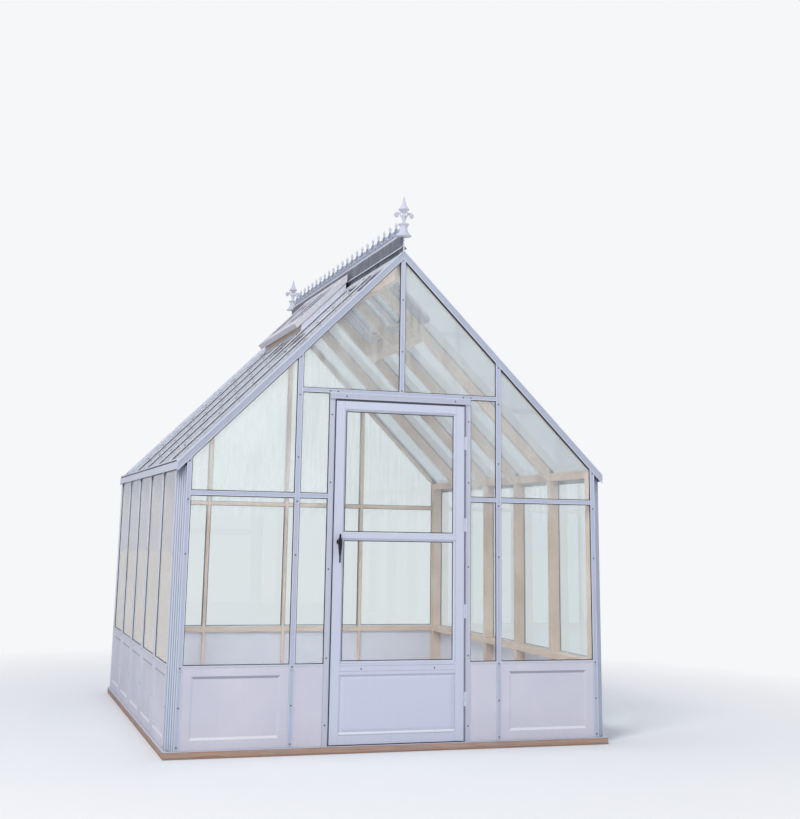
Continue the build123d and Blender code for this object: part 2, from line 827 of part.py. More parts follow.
with BuildPart() as door_frame:
    for side, beads in ((-1, latch_beads), (1, hinge_beads)):
        jamb_bar(side, 0, jamb_strip_width, lip_top, jamb_top, 0, cap_depth)
        jamb_bar(side, 0, jamb_strip_width - jamb_pane_cover, lip_top, jamb_top, cap_depth, stud_outer)
        for z0, z1 in beads:
            jamb_bar(side, 0, jamb_bead_width, z0, z1, -jamb_bead_proud, 0)
        jamb_bar(
            side, jamb_bead_width, jamb_bead_width + jamb_groove_width, lip_top, jamb_top,
            0, strip_channel, Mode.SUBTRACT,
        )
        liner_outer = stud_outer + joint_gap
        jamb_bar(side, 0, jamb_liner, timber_height, header_bottom - joint_gap, liner_outer, stop_inner)
        jamb_bar(side, -stop_width, 0, timber_height, header_bottom - joint_gap, stop_outer, stop_inner)
    lip_z = header_lip_bottom
    lip_z_top = lip_z + header_lip_height
    strip_z_top = head_web_bottom - joint_gap
    groove_z = header_groove_z - header_groove_width / 2
    wall_bar(front_plane, -header_x, header_x, header_bottom, lip_z, 0, stud_outer)
    wall_bar(front_plane, -header_flange_x, header_flange_x, lip_z, strip_z_top, 0, cap_depth)
    wall_bar(front_plane, -header_web_x, header_web_x, lip_z, strip_z_top, cap_depth, stud_outer)
    wall_bar(front_plane, -header_flange_x, header_flange_x, lip_z, lip_z_top, -header_lip_reach, 0)
    wall_bar(
        front_plane, -header_flange_x, header_flange_x, groove_z, groove_z + header_groove_width,
        0, header_groove_depth, Mode.SUBTRACT,
    )
    wall_bar(front_plane, -jamb_x, jamb_x, header_bottom, liner_top, stud_outer + joint_gap, stop_inner)
    stop_x = jamb_x - stop_width - joint_gap
    wall_bar(front_plane, -stop_x, stop_x, header_bottom - stop_width, header_bottom, stop_outer, stop_inner)
door_frame.part.label = "door_frame"
export_step(door_frame.part, "parts/door_frame.step")


# Roof trim
rake_low_x = half_width + rake_overhang


def rake_layer(side, x_high, wall_y, outward, over, under, near, far, mode=Mode.ADD):
    """One strip of a rake, between two depths over and under and two distances outwards."""
    y0, y1 = sorted((wall_y + outward * near, wall_y + outward * far))
    slope_slab(side, x_high, rake_low_x, over, under, y0, y1, mode)


def rake_trim(side):
    """The rakes of one slope, front and rear: a beaded face and a return over the roof."""
    mitre_x = joint_gap / 2
    face = rake_face_thickness
    low_bead = rake_face_height - rake_bead_height
    groove_step = (low_bead - rake_bead_height) / 3
    for wall_y, outward in ((front, -1), (rear, 1)):
        rake_layer(side, mitre_x, wall_y, outward, 0, rake_face_height, 0, face)
        rake_layer(side, mitre_x, wall_y, outward, 0, rake_bead_height, face, face + rake_top_bead_proud)
        rake_layer(
            side, mitre_x, wall_y, outward, low_bead, rake_face_height,
            face, face + rake_low_bead_proud,
        )
        for k in (1, 2):
            groove = rake_bead_height + groove_step * k
            rake_layer(
                side, mitre_x, wall_y, outward,
                groove - rake_groove_width / 2, groove + rake_groove_width / 2,
                face - rake_groove_depth, face, Mode.SUBTRACT,
            )
        return_x = half_ridge + joint_gap
        rake_layer(side, return_x, wall_y, outward, 0, roof_skin, face - rake_return, face)


with BuildPart() as rake_trim_left:
    rake_trim(-1)
rake_trim_left.part.label = "rake_trim_left"
export_step(rake_trim_left.part, "parts/rake_trim_left.step")

with BuildPart() as rake_trim_right:
    rake_trim(1)
rake_trim_right.part.label = "rake_trim_right"
export_step(rake_trim_right.part, "parts/rake_trim_right.step")

fascia_x = half_width + fascia_reach
fascia_inner_x = half_width - fascia_return
fascia_groove_bottom = fascia_bottom + fascia_face_height
fascia_groove_top = fascia_groove_bottom + fascia_groove_height
fascia_top = fascia_groove_top + fascia_bead_height
bead_inner_x = fascia_x - fascia_bead_depth
bead_foot_x = bead_inner_x - fascia_groove_depth
fascia_edge = roof_z(fascia_x, roof_skin)
upstand_start = rake_return - rake_face_thickness + joint_gap
with BuildPart() as eave_trim:
    for side in (-1, 1):
        with BuildSketch(Plane.XZ.offset(-(front + joint_gap))) as section:
            Polygon(
                (side * half_width, fascia_bottom),
                (side * fascia_x, fascia_bottom),
                (side * fascia_x, fascia_edge),
                (side * fascia_inner_x, roof_z(fascia_inner_x, roof_skin)),
                (side * fascia_inner_x, roof_z(fascia_inner_x, roof_pane_outer)),
                (side * half_width, roof_z(half_width, roof_pane_outer)),
            )
        extrude(section.sketch, amount=-(depth - 2 * joint_gap))
        with BuildSketch(Plane.XZ.offset(-(front + upstand_start))) as upstand:
            Polygon(
                (side * fascia_x, fascia_edge),
                (side * fascia_x, fascia_groove_bottom),
                (side * (fascia_x - fascia_groove_depth), fascia_groove_bottom),
                (side * (fascia_x - fascia_groove_depth), fascia_groove_top),
                (side * fascia_x, fascia_groove_top),
                (side * fascia_x, fascia_top),
                (side * bead_inner_x, fascia_top),
                (side * bead_foot_x, roof_z(bead_foot_x, roof_skin)),
            )
        extrude(upstand.sketch, amount=-(depth - 2 * upstand_start))
eave_trim.part.label = "eave_trim"
export_step(eave_trim.part, "parts/eave_trim.step")

# Roof bars and panes: the same layers as the walls, square to the slope
roof_bar_high_x = ridge_flange_x + joint_gap
roof_bar_low_x = fascia_inner_x - joint_gap


def roof_bars(side, first_bay):
    """Cap strips over the rafters, and a vent's side rails and the aprons at its lower edge."""
    for y in bar_positions:
        slope_slab(
            side, roof_bar_high_x, roof_bar_low_x, roof_skin, roof_pane_outer,
            y - half_strip, y + half_strip,
        )
        slope_slab(
            side, roof_bar_high_x, roof_bar_low_x, roof_pane_outer, roof_timber,
            y - half_web, y + half_web,
        )
    bars = vent_bars(first_bay)
    for y0, y1 in vent_curb_ends(bars):
        slope_slab(side, curb_high_x, vent_lower_x, curb_over, roof_skin, y0, y1)
    for y0, y1 in zip(bars, bars[1:]):
        slope_slab(
            side, vent_lower_x - stud_width, vent_lower_x, roof_skin, roof_pane_outer,
            y0 + half_strip + joint_gap, y1 - half_strip - joint_gap,
        )


def roof_panes(side, first_bay):
    """One pane a bay from ridge to eave, or from the vent's header where a vent covers it."""
    bars = vent_bars(first_bay)
    ends = [front + stud_outer - half_web - pane_gap, rear - stud_outer + half_web + pane_gap]
    edges = [ends[0]] + bar_positions + [ends[1]]
    for y0, y1 in zip(edges, edges[1:]):
        in_vent = bars[0] <= y0 and y1 <= bars[-1]
        top = vent_lower_x - stud_width / 2 if in_vent else half_ridge + pane_gap
        slope_slab(
            side, top, half_width - pane_gap, roof_pane_outer, roof_timber,
            y0 + half_web + pane_gap, y1 - half_web - pane_gap,
        )


with BuildPart() as roof_bars_left:
    roof_bars(-1, left_vent_first_bay)
roof_bars_left.part.label = "roof_bars_left"
export_step(roof_bars_left.part, "parts/roof_bars_left.step")

with BuildPart() as roof_bars_right:
    roof_bars(1, right_vent_first_bay)
roof_bars_right.part.label = "roof_bars_right"
export_step(roof_bars_right.part, "parts/roof_bars_right.step")

with BuildPart() as roof_glass_left:
    roof_panes(-1, left_vent_first_bay)
roof_glass_left.part.label = "roof_glass_left"
export_step(roof_glass_left.part, "parts/roof_glass_left.step")

with BuildPart() as roof_glass_right:
    roof_panes(1, right_vent_first_bay)
roof_glass_right.part.label = "roof_glass_right"
export_step(roof_glass_right.part, "parts/roof_glass_right.step")

# Roof vents: sashes that stand on their curbs, closed, with the low end cut square
vent_over = roof_skin - vent_rise
vent_high_x = ridge_flange_x + vent_ridge_gap
sash_low_x = vent_lower_x + vent_overhang


def vent_sash(side, first_bay):
    """Two end rails, a middle rail, and the upper and lower rails between them."""
    bars = vent_bars(first_bay)
    rails = [
        (bars[0] - half_strip, bars[0] - half_strip + vent_rail_width),
        (bars[1] - vent_rail_width / 2, bars[1] + vent_rail_width / 2),
        (bars[2] + half_strip - vent_rail_width, bars[2] + half_strip),
    ]
    sash_under = roof_skin - vent_curb_height - joint_gap
    for y0, y1 in rails:
        slope_slab(side, vent_high_x, sash_low_x, vent_over, sash_under, y0, y1, square=True)
    for lower, upper in zip(rails, rails[1:]):
        for x_high, x_low, square in (
            (vent_high_x, vent_high_x + vent_rail_width, False),
            (sash_low_x - vent_rail_width, sash_low_x, True),
        ):
            slope_slab(
                side, x_high, x_low, vent_over, sash_under,
                lower[1] + joint_gap, upper[0] - joint_gap, square=square,
            )
    return rails


with BuildPart() as roof_vent_left:
    left_vent_rails = vent_sash(-1, left_vent_first_bay)
roof_vent_left.part.label = "roof_vent_left"
export_step(roof_vent_left.part, "parts/roof_vent_left.step")

with BuildPart() as roof_vent_right:
    right_vent_rails = vent_sash(1, right_vent_first_bay)
roof_vent_right.part.label = "roof_vent_right"
export_step(roof_vent_right.part, "parts/roof_vent_right.step")

with BuildPart() as roof_vent_glass:
    for side, rails in ((-1, left_vent_rails), (1, right_vent_rails)):
        for lower, upper in zip(rails, rails[1:]):
            slope_slab(
                side,
                vent_high_x + vent_rail_width + pane_gap,
                sash_low_x - vent_rail_width - pane_gap,
                vent_over + vent_pane_drop, vent_over + vent_pane_drop + pane_depth,
                lower[1] + pane_gap, upper[0] - pane_gap,
            )
roof_vent_glass.part.label = "roof_vent_glass"
export_step(roof_vent_glass.part, "parts/roof_vent_glass.step")

# Ridge: an upright web between the slopes, flanges on the panes and two drip wings
with BuildPart() as ridge_cap:
    wing_root = drip_wing_apex - half_ridge
    wing_tip = drip_wing_apex - drip_wing_reach
    with BuildSketch(Plane.XZ.offset(-front)) as section:
        with BuildLine():
            for side in (-1, 1):
                Polyline(
                    (0, ridge_web_top),
                    (side * half_ridge, ridge_web_top),
                    (side * half_ridge, wing_root),
                    (side * drip_wing_reach, wing_tip),
                    (side * drip_wing_reach, wing_tip - drip_wing_thickness),
                    (side * half_ridge, wing_root - drip_wing_thickness),
                    (side * half_ridge, roof_z(half_ridge, roof_skin)),
                    (side * ridge_flange_x, roof_z(ridge_flange_x, roof_skin)),
                    (side * ridge_flange_x, roof_z(ridge_flange_x, roof_pane_outer)),
                    (0, roof_z(0, roof_pane_outer)),
                )
        make_face()
    extrude(section.sketch, amount=-depth)
ridge_cap.part.label = "ridge_cap"
export_step(ridge_cap.part, "parts/ridge_cap.step")

# Ridge cresting: pierced bells on a band, each carrying a spike, and small lobes between
crest_clear = finial_inset + skirt_radius
crest_plane = Plane(origin=(0, (front + rear) / 2, ridge_web_top), x_dir=(0, 1, 0), z_dir=(1, 0, 0))
first_spike = -(spike_count - 1) / 2 * spike_pitch
half_spike = spike_width / 2
half_pitch = spike_pitch / 2
bell_half = [
    (half_pitch, 0),
    (half_pitch, lobe_height),
    (half_pitch - lobe_half_share * spike_pitch, lobe_height * lobe_dip),
    (bell_base_half, cresting_band + bell_foot_rise),
    (bell_base_half, cresting_band + bell_side_rise),
]
bell_half += [(bell_base_half * u, bell_waist_height * v) for u, v in bell_shoulders]
bell_half += [
    (half_spike * 0.8, bell_waist_height),
    (half_spike, bell_waist_height + spike_bulb_rise),
    (half_spike * 0.7, cresting_tip_height - spike_point_length),
    (0, cresting_tip_height),
]
bell_outline = bell_half + [(-u, v) for u, v in reversed(bell_half[:-1])]
with BuildPart() as ridge_cresting:
    with BuildSketch(crest_plane.offset(-cresting_thickness / 2)) as band:
        with Locations((0, cresting_band / 2)):
            Rectangle(depth - 2 * crest_clear, cresting_band)
        for k in range(spike_count):
            with Locations((first_spike + spike_pitch * k, 0)):
                Polygon(*bell_outline)
        for k in range(spike_count):
            u = first_spike + spike_pitch * k
            with Locations((u - scroll_eye_x, scroll_eye_height), (u + scroll_eye_x, scroll_eye_height)):
                RegularPolygon(scroll_eye_radius, 8, mode=Mode.SUBTRACT)
            with Locations((u, cresting_band + bell_slot_height / 2)):
                Polygon(
                    (-bell_slot_width / 4, -bell_slot_height / 2),
                    (bell_slot_width / 4, -bell_slot_height / 2),
                    (bell_slot_width / 2, 0),
                    (0, bell_slot_height / 2),
                    (-bell_slot_width / 2, 0),
                    mode=Mode.SUBTRACT,
                )
            if k > 0:
                with Locations((u - half_pitch, cresting_band + lobe_eye_radius)):
                    RegularPolygon(lobe_eye_radius, 8, mode=Mode.SUBTRACT)
    extrude(band.sketch, amount=cresting_thickness)
ridge_cresting.part.label = "ridge_cresting"
export_step(ridge_cresting.part, "parts/ridge_cresting.step")

# Finials at both ends of the ridge: a bell with a curled skirt, a collar, two volutes
# on a stem and a spear. Each is slotted over the ridge web
spear_tip = spear_base_height + spear_length
finial_outline = [
    (0, -skirt_drop),
    (skirt_radius, -skirt_drop),
    (skirt_radius, skirt_lip_height - skirt_drop),
    (skirt_radius - skirt_curl_width, skirt_curl_rise - skirt_drop),
    (bell_radius, 0),
    (waist_radius + waist_flare, waist_height / 2),
    (waist_radius, waist_height),
    (collar_radius - collar_slope, collar_height - collar_slope),
    (collar_radius, collar_height - collar_thickness / 2),
    (collar_radius, collar_height + collar_thickness / 2),
    (stem_radius, collar_height + collar_slope),
    (stem_radius, spear_base_height - spear_cup_height),
    (spear_base_radius, spear_base_height),
    (spear_base_radius, spear_base_height + spear_lip_thickness),
]
finial_outline += [
    (spear_base_radius * width, spear_base_height + spear_length * rise) for width, rise in spear_taper
]
finial_outline.append((0, spear_tip))
with BuildPart() as ridge_finials:
    for y in (front + finial_inset, rear - finial_inset):
        axis_plane = Plane(origin=(0, y, ridge_web_top), x_dir=(1, 0, 0), z_dir=(0, -1, 0))
        with BuildSketch(axis_plane) as profile:
            Polygon(*finial_outline)
        revolve(profile.sketch, Axis((0, y, ridge_web_top), (0, 0, 1)), 360)
        with BuildSketch(axis_plane.offset(-volute_thickness / 2)) as volutes:
            for side in (-1, 1):
                with Locations((side * volute_x, volute_height)):
                    Circle(volute_radius)
                    Circle(volute_eye_radius, mode=Mode.SUBTRACT)
                Polygon(
                    (0, volute_height + 1.4 * volute_radius),
                    (side * volute_x / 2, volute_height + 1.5 * volute_radius),
                    (side * volute_x, volute_height + volute_radius),
                    (side * volute_x, volute_height + volute_eye_radius + 1),
                    (side * volute_x / 2, volute_height + 0.7 * volute_radius),
                    (0, volute_height + 0.4 * volute_radius),
                )
        extrude(volutes.sketch, amount=volute_thickness)
        slot_plane = Plane.XY.offset(ridge_web_top - skirt_drop)
        with BuildSketch(slot_plane) as slot:
            with Locations((0, y)):
                Rectangle(ridge_web_thickness + 2 * joint_gap, 3 * skirt_radius)
        extrude(slot.sketch, amount=skirt_drop + joint_gap, mode=Mode.SUBTRACT)
ridge_finials.part.label = "ridge_finials"
export_step(ridge_finials.part, "parts/ridge_finials.step")


# Door: stiles at full height, rails between them, two panes and a bordered panel
rail_edge = door_half_width - stile_width - joint_gap
bottom_rail_top = door_bottom + bottom_rail_height
glass_fields = ((sill_height, mid_rail_bottom), (mid_rail_top, door_top - top_rail_height))


def glazing_bead(z0, z1):
    """A bead round one pane of the door: a mitred frame whose face slopes to the pane."""
    outer = door_face + bead_setback
    inner = door_face + door_pane_depth - joint_gap
    height = z1 - z0 - 2 * joint_gap
    width = 2 * (rail_edge - joint_gap)
    middle = (0, (z0 + z1) / 2)
    opening_width = width - 2 * bead_width
    opening_height = height - 2 * bead_width
    with BuildSketch(front_plane.offset(-outer)) as border:
        with Locations(middle):
            Rectangle(width, height)
            Rectangle(opening_width, opening_height, mode=Mode.SUBTRACT)
    extrude(border.sketch, amount=outer - inner)
    with BuildSketch(front_plane.offset(-outer)) as wide:
        with Locations(middle):
            Rectangle(opening_width + 2 * bead_slope, opening_height + 2 * bead_slope)
    with BuildSketch(front_plane.offset(-inner)) as narrow:
        with Locations(middle):
            Rectangle(opening_width, opening_height)
    loft([wide.sketch.face(), narrow.sketch.face()], mode=Mode.SUBTRACT)


with BuildPart() as door_leaf:
    for side in (-1, 1):
        edges = sorted((side * door_half_width, side * (door_half_width - stile_width)))
        wall_bar(front_plane, edges[0], edges[1], door_bottom, door_top, door_face, door_back)
    for z0, z1 in (
        (door_bottom, bottom_rail_top),
        (lock_rail_bottom, sill_height),
        (mid_rail_bottom, mid_rail_top),
        (door_top - top_rail_height, door_top),
    ):
        wall_bar(front_plane, -rail_edge, rail_edge, z0, z1, door_face, door_back)
    for z0, z1 in glass_fields:
        glazing_bead(z0, z1)
door_leaf.part.label = "door_leaf"
export_step(door_leaf.part, "parts/door_leaf.step")

pane_edge = rail_edge - pane_gap
with BuildPart() as door_glass:
    for z0, z1 in glass_fields:
        wall_bar(
            front_plane, -pane_edge, pane_edge, z0 + pane_gap, z1 - pane_gap,
            door_face + door_pane_depth, door_face + door_pane_depth + pane_depth,
        )
door_glass.part.label = "door_glass"
export_step(door_glass.part, "parts/door_glass.step")

with BuildPart() as door_panel:
    z0 = bottom_rail_top + pane_gap
    z1 = lock_rail_bottom - pane_gap
    border_depth = door_face + recess_depth + bead_setback
    wall_bar(front_plane, -pane_edge, pane_edge, z0, z1, border_depth, door_back - recess_depth)
    middle = (0, (z0 + z1) / 2)
    field_width = 2 * (pane_edge - bead_width)
    field_height = z1 - z0 - 2 * bead_width
    with BuildSketch(front_plane.offset(-border_depth)) as foot:
        with Locations(middle):
            Rectangle(field_width, field_height)
    with BuildSketch(front_plane.offset(-door_face - bead_setback)) as field:
        with Locations(middle):
            Rectangle(field_width - 2 * recess_bevel, field_height - 2 * recess_bevel)
    loft([foot.sketch.face(), field.sketch.face()])
door_panel.part.label = "door_panel"
export_step(door_panel.part, "parts/door_panel.step")

# Door handle: a black drop handle with a small knob, on a round rose of the latch stile
handle_plane = Plane(
    origin=(handle_x, front + door_face - handle_reach + drop_radius, 0),
    x_dir=(1, 0, 0), z_dir=(0, -1, 0),
)
drop_outline = [
    (0, handle_bottom),
    (drop_tip_radius - handle_edge, handle_bottom),
    (drop_tip_radius, handle_bottom + drop_point_height),
    (drop_tip_radius, handle_bottom + drop_neck_rise),
    (drop_radius * 0.72, drop_height - drop_swell_below),
    (drop_radius, drop_height - drop_belly_below),
    (drop_radius, drop_height + drop_belly_above),
    (drop_radius * 0.6, drop_height + drop_shoulder_above),
    (drop_tip_radius, handle_top - 2 * handle_knob_radius),
    (handle_knob_radius, handle_top - handle_knob_radius - handle_edge),
    (handle_knob_radius - handle_edge, handle_top - handle_edge),
    (0, handle_top),
]
with BuildPart() as door_handle:
    with BuildSketch(handle_plane) as drop:
        Polygon(*drop_outline)
    revolve(drop.sketch, Axis(handle_plane.origin, (0, 0, 1)), 360)
    with BuildSketch(front_plane.offset(-door_face)) as rose:
        with Locations((handle_x, drop_height)):
            Circle(rose_radius)
    extrude(rose.sketch, amount=rose_thickness)
    with BuildSketch(front_plane.offset(-door_face)) as neck:
        with Locations((handle_x, drop_height)):
            Circle(rose_radius / 2)
    extrude(neck.sketch, amount=handle_reach - drop_radius)
door_handle.part.label = "door_handle"
export_step(door_handle.part, "parts/door_handle.step")


# Hinges: knuckles on one pin line beside the right jamb
def knuckle(z0, z1):
    """One knuckle of a hinge, round the pin line."""
    with BuildSketch(Plane.XY.offset(z0)) as ring:
        with Locations((pin_x, front + pin_depth)):
            Circle(knuckle_radius)
    extrude(ring.sketch, amount=z1 - z0)


knuckle_length = hinge_length / 3
with BuildPart() as frame_hinges:
    for z in hinge_heights:
        bottom = z - hinge_length / 2
        top = z + hinge_length / 2
        for z0, z1 in ((bottom, bottom + knuckle_length), (top - knuckle_length, top)):
            knuckle(z0, z1)
            wall_bar(front_plane, pin_x, pin_x + hinge_leaf_width, z0, z1, -hinge_leaf_thickness, 0)
        wall_bar(
            front_plane, jamb_x + hinge_leaf_thickness, pin_x + hinge_leaf_width,
            bottom, top, -hinge_leaf_thickness, 0,
        )
        with BuildSketch(Plane.XY.offset(bottom)) as pin:
            with Locations((pin_x, front + pin_depth)):
                Circle(pin_radius)
        extrude(pin.sketch, amount=hinge_length)
frame_hinges.part.label = "frame_hinges"
export_step(frame_hinges.part, "parts/frame_hinges.step")

with BuildPart() as door_hinges:
    for z in hinge_heights:
        z0 = z - knuckle_length / 2 + knuckle_gap
        z1 = z + knuckle_length / 2 - knuckle_gap
        knuckle(z0, z1)
        wall_bar(
            front_plane, pin_x - hinge_leaf_width, pin_x, z0, z1,
            door_face - hinge_leaf_thickness, door_face,
        )
        wall_bar(
            front_plane, pin_x - hinge_leaf_width, door_half_width - hinge_leaf_thickness,
            z - hinge_length / 2, z + hinge_length / 2,
            door_face - hinge_leaf_thickness, door_face,
        )
        with BuildSketch(Plane.XY.offset(z0)) as bore:
            with Locations((pin_x, front + pin_depth)):
                Circle(pin_radius + pin_clearance)
        extrude(bore.sketch, amount=z1 - z0, mode=Mode.SUBTRACT)
door_hinges.part.label = "door_hinges"
export_step(door_hinges.part, "parts/door_hinges.step")
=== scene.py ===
import math

import bmesh
import bpy
from mathutils import Matrix, Vector


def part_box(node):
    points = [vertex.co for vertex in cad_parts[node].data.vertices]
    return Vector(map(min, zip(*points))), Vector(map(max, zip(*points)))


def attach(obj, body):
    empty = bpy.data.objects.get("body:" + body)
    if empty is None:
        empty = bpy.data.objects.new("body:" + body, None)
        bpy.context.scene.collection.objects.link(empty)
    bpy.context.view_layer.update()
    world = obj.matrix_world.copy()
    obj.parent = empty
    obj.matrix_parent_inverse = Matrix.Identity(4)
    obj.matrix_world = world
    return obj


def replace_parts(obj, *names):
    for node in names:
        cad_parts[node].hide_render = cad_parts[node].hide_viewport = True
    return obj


# The looks of a glass greenhouse with one door. Metres, +Z up, the front gable faces -Y
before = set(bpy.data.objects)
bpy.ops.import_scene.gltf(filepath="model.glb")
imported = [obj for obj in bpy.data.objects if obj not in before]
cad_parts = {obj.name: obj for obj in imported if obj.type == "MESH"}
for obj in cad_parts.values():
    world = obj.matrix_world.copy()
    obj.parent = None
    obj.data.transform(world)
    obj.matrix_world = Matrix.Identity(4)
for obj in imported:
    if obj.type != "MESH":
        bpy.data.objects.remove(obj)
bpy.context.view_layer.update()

# Sizes that the pieces share with the model, in metres
HALF_WIDTH = 1.330
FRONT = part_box("front_caps")[0].y
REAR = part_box("rear_caps")[1].y
BAY = 0.568
END_MARGIN = 0.048
BARS = [FRONT + END_MARGIN + BAY * k for k in range(1, 5)]
APEX = 2.935
RIDGE_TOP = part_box("ridge_cresting")[0].z
CORNER_X = 1.266
MULLION_X = 0.632
JAMB_CENTRE = 0.43025
HALF_STRIP = 0.015
HALF_CORNER = 0.014
HALF_JAMB = 0.01775
MID_BAR = (1.413, 1.439)
HEAD_BAR = (2.030, 2.054)
SILL = 0.485
PANE = 0.010
FLUTE_PITCH = 0.015
FLUTE_SHIFT = 20.5
HALF_WEB = 0.0042
SILL_DEPTH = 0.084
VENT_BAYS = ((-1, (2, 3)), (1, (1, 2)))
VENT_FOOT = 0.355


def colour(hex_code):
    """An sRGB hex colour as the linear values that a shader takes."""
    parts = [int(hex_code[i:i + 2], 16) / 255 for i in (0, 2, 4)]
    return [c / 12.92 if c <= 0.04045 else ((c + 0.055) / 1.055) ** 2.4 for c in parts] + [1.0]


def add(tree, kind, sockets=None, **settings):
    """Adds a node with its settings, and sets or links its inputs. A node links by its first output."""
    node = tree.nodes.new(kind)
    for name, value in settings.items():
        setattr(node, name, value)
    for name, value in (sockets or {}).items():
        if isinstance(value, bpy.types.Node):
            value = value.outputs[0]
        if isinstance(value, bpy.types.NodeSocket):
            tree.links.new(value, node.inputs[name])
        else:
            node.inputs[name].default_value = value
    return node


def new_finish(name):
    """An empty material with its output, and the object's own coordinates."""
    material = bpy.data.materials.new(name)
    material.use_nodes = True
    tree = material.node_tree
    tree.nodes.clear()
    output = add(tree, "ShaderNodeOutputMaterial")
    place = add(tree, "ShaderNodeTexCoord").outputs["Object"]
    return material, tree, output, place


def stretched_noise(tree, place, per_metre, detail=3.0, roughness=0.5):
    """Noise whose grain has its own count per metre along each axis, from 0 to 1."""
    scaled = add(tree, "ShaderNodeMapping", {"Vector": place, "Scale": per_metre})
    noise = add(tree, "ShaderNodeTexNoise", {
        "Vector": scaled.outputs[0], "Scale": 1.0, "Detail": detail, "Roughness": roughness,
    })
    return noise.outputs["Fac"]


def surface(tree, output, sockets):
    """Gives a finish its one shader."""
    shader = add(tree, "ShaderNodeBsdfPrincipled", sockets)
    tree.links.new(shader.outputs[0], output.inputs[0])


# Colours of soil and of the painted shade in grooves, the depth of a coat's own texture in metres, and growth
# lines across a grain
SOIL = "8A7A6C"
GROOVE_SHADE = "6F7688"
SKIN_DEPTH = 0.0004
RINGS = 9.0


# Powder-coated aluminium: a satin white with a faint blue cast, an orange-peel skin,
# rain marks that run down it and splashed soil near the ground
def powder_coat(name, base, shade, soil_height=0.16, soil=0.35, roughness=0.36, rain=0.7):
    material, tree, output, place = new_finish(name)
    streaks = stretched_noise(tree, place, (70, 70, 3.5), 4.0)
    clouds = stretched_noise(tree, place, (5, 5, 5), 3.0)
    specks = stretched_noise(tree, place, (420, 420, 420), 2.0)
    height = add(tree, "ShaderNodeSeparateXYZ", {0: place}).outputs["Z"]
    near_ground = add(tree, "ShaderNodeMapRange", {
        "Value": height, "From Min": 0.03, "From Max": soil_height, "To Min": 1.0, "To Max": 0.0,
    })
    splash = add(tree, "ShaderNodeMath", {
        0: near_ground,
        1: add(tree, "ShaderNodeMapRange", {"Value": specks, "From Min": 0.42, "From Max": 0.66}),
    }, operation="MULTIPLY")
    runs = add(tree, "ShaderNodeMapRange", {
        "Value": streaks, "From Min": 0.5, "From Max": 0.85, "To Min": 0.0, "To Max": rain,
    })
    coat = add(tree, "ShaderNodeMix", {
        0: add(tree, "ShaderNodeMath", {
            0: runs,
            1: add(tree, "ShaderNodeMapRange", {"Value": clouds, "From Min": 0.4, "From Max": 0.75}),
        }, operation="MULTIPLY"),
        6: colour(base), 7: colour(shade),
    }, data_type="RGBA").outputs[2]
    coat = add(tree, "ShaderNodeMix", {
        0: add(tree, "ShaderNodeMath", {0: splash, 1: soil}, operation="MULTIPLY"), 6: coat,
        7: colour(SOIL),
    }, data_type="RGBA").outputs[2]
    rough = add(tree, "ShaderNodeMapRange", {
        "Value": clouds, "From Min": 0.3, "From Max": 0.75, "To Min": roughness - 0.05,
        "To Max": roughness + 0.12,
    })
    peel = stretched_noise(tree, place, (650, 650, 650), 1.0)
    surface(tree, output, {
        "Base Color": coat, "Roughness": rough,
        "Normal": add(tree, "ShaderNodeBump", {"Height": peel, "Strength": 0.06, "Distance": SKIN_DEPTH}),
        "IOR": 1.5, "Coat Weight": 0.12, "Coat Roughness": 0.25,
    })
    return material


def groove_shade_lines(tree, distance, lines):
    """How much painted shade a point takes in the grooves, from a distance and the places and half widths of
    the lines.
    """
    groove_shade_amount = None
    for centre, half in lines:
        off = add(tree, "ShaderNodeMath", {
            0: add(tree, "ShaderNodeMath", {0: distance, 1: centre}, operation="SUBTRACT"),
        }, operation="ABSOLUTE")
        line = add(tree, "ShaderNodeMapRange", {
            "Value": off, "From Min": half, "From Max": half * 2, "To Min": 1.0, "To Max": 0.0,
        })
        groove_shade_amount = line if groove_shade_amount is None else add(tree, "ShaderNodeMath", {
            0: groove_shade_amount, 1: line,
        }, operation="MAXIMUM")
    return groove_shade_amount


def coat_parts(material):
    """A coat's tree, its shader, the colour that reaches it, and the object's axes."""
    tree = material.node_tree
    shader = next(node for node in tree.nodes if node.type == "BSDF_PRINCIPLED")
    clean = shader.inputs["Base Color"].links[0].from_socket
    place = add(tree, "ShaderNodeTexCoord").outputs["Object"]
    return tree, shader, clean, add(tree, "ShaderNodeSeparateXYZ", {0: place}).outputs


def coat_with_lines(name, base, shade, distance_of, lines, strength):
    """Powder coat with painted shade along its grooves. distance_of builds the distance from the axes."""
    material = powder_coat(name, base, shade)
    tree, shader, clean, axes = coat_parts(material)
    groove_shade_amount = add(tree, "ShaderNodeMath", {
        0: groove_shade_lines(tree, distance_of(tree, axes), lines), 1: strength,
    }, operation="MULTIPLY")
    tree.links.new(
        add(tree, "ShaderNodeMix", {
            0: groove_shade_amount, 6: clean, 7: colour(GROOVE_SHADE),
        }, data_type="RGBA").outputs[2],
        shader.inputs["Base Color"],
    )
    return material


def shaded_under(material, low, high, shade):
    """Darkens a coat towards a height under an overhang: painted shade where the overhang shades it."""
    tree, shader, clean, axes = coat_parts(material)
    overhang_shade = add(tree, "ShaderNodeMath", {
        0: add(tree, "ShaderNodeMapRange", {"Value": axes["Z"], "From Min": low, "From Max": high}),
        1: 2.0,
    }, operation="POWER")
    tree.links.new(
        add(tree, "ShaderNodeMix", {0: overhang_shade, 6: clean, 7: colour(shade)}, data_type="RGBA").outputs[2],
        shader.inputs["Base Color"],
    )


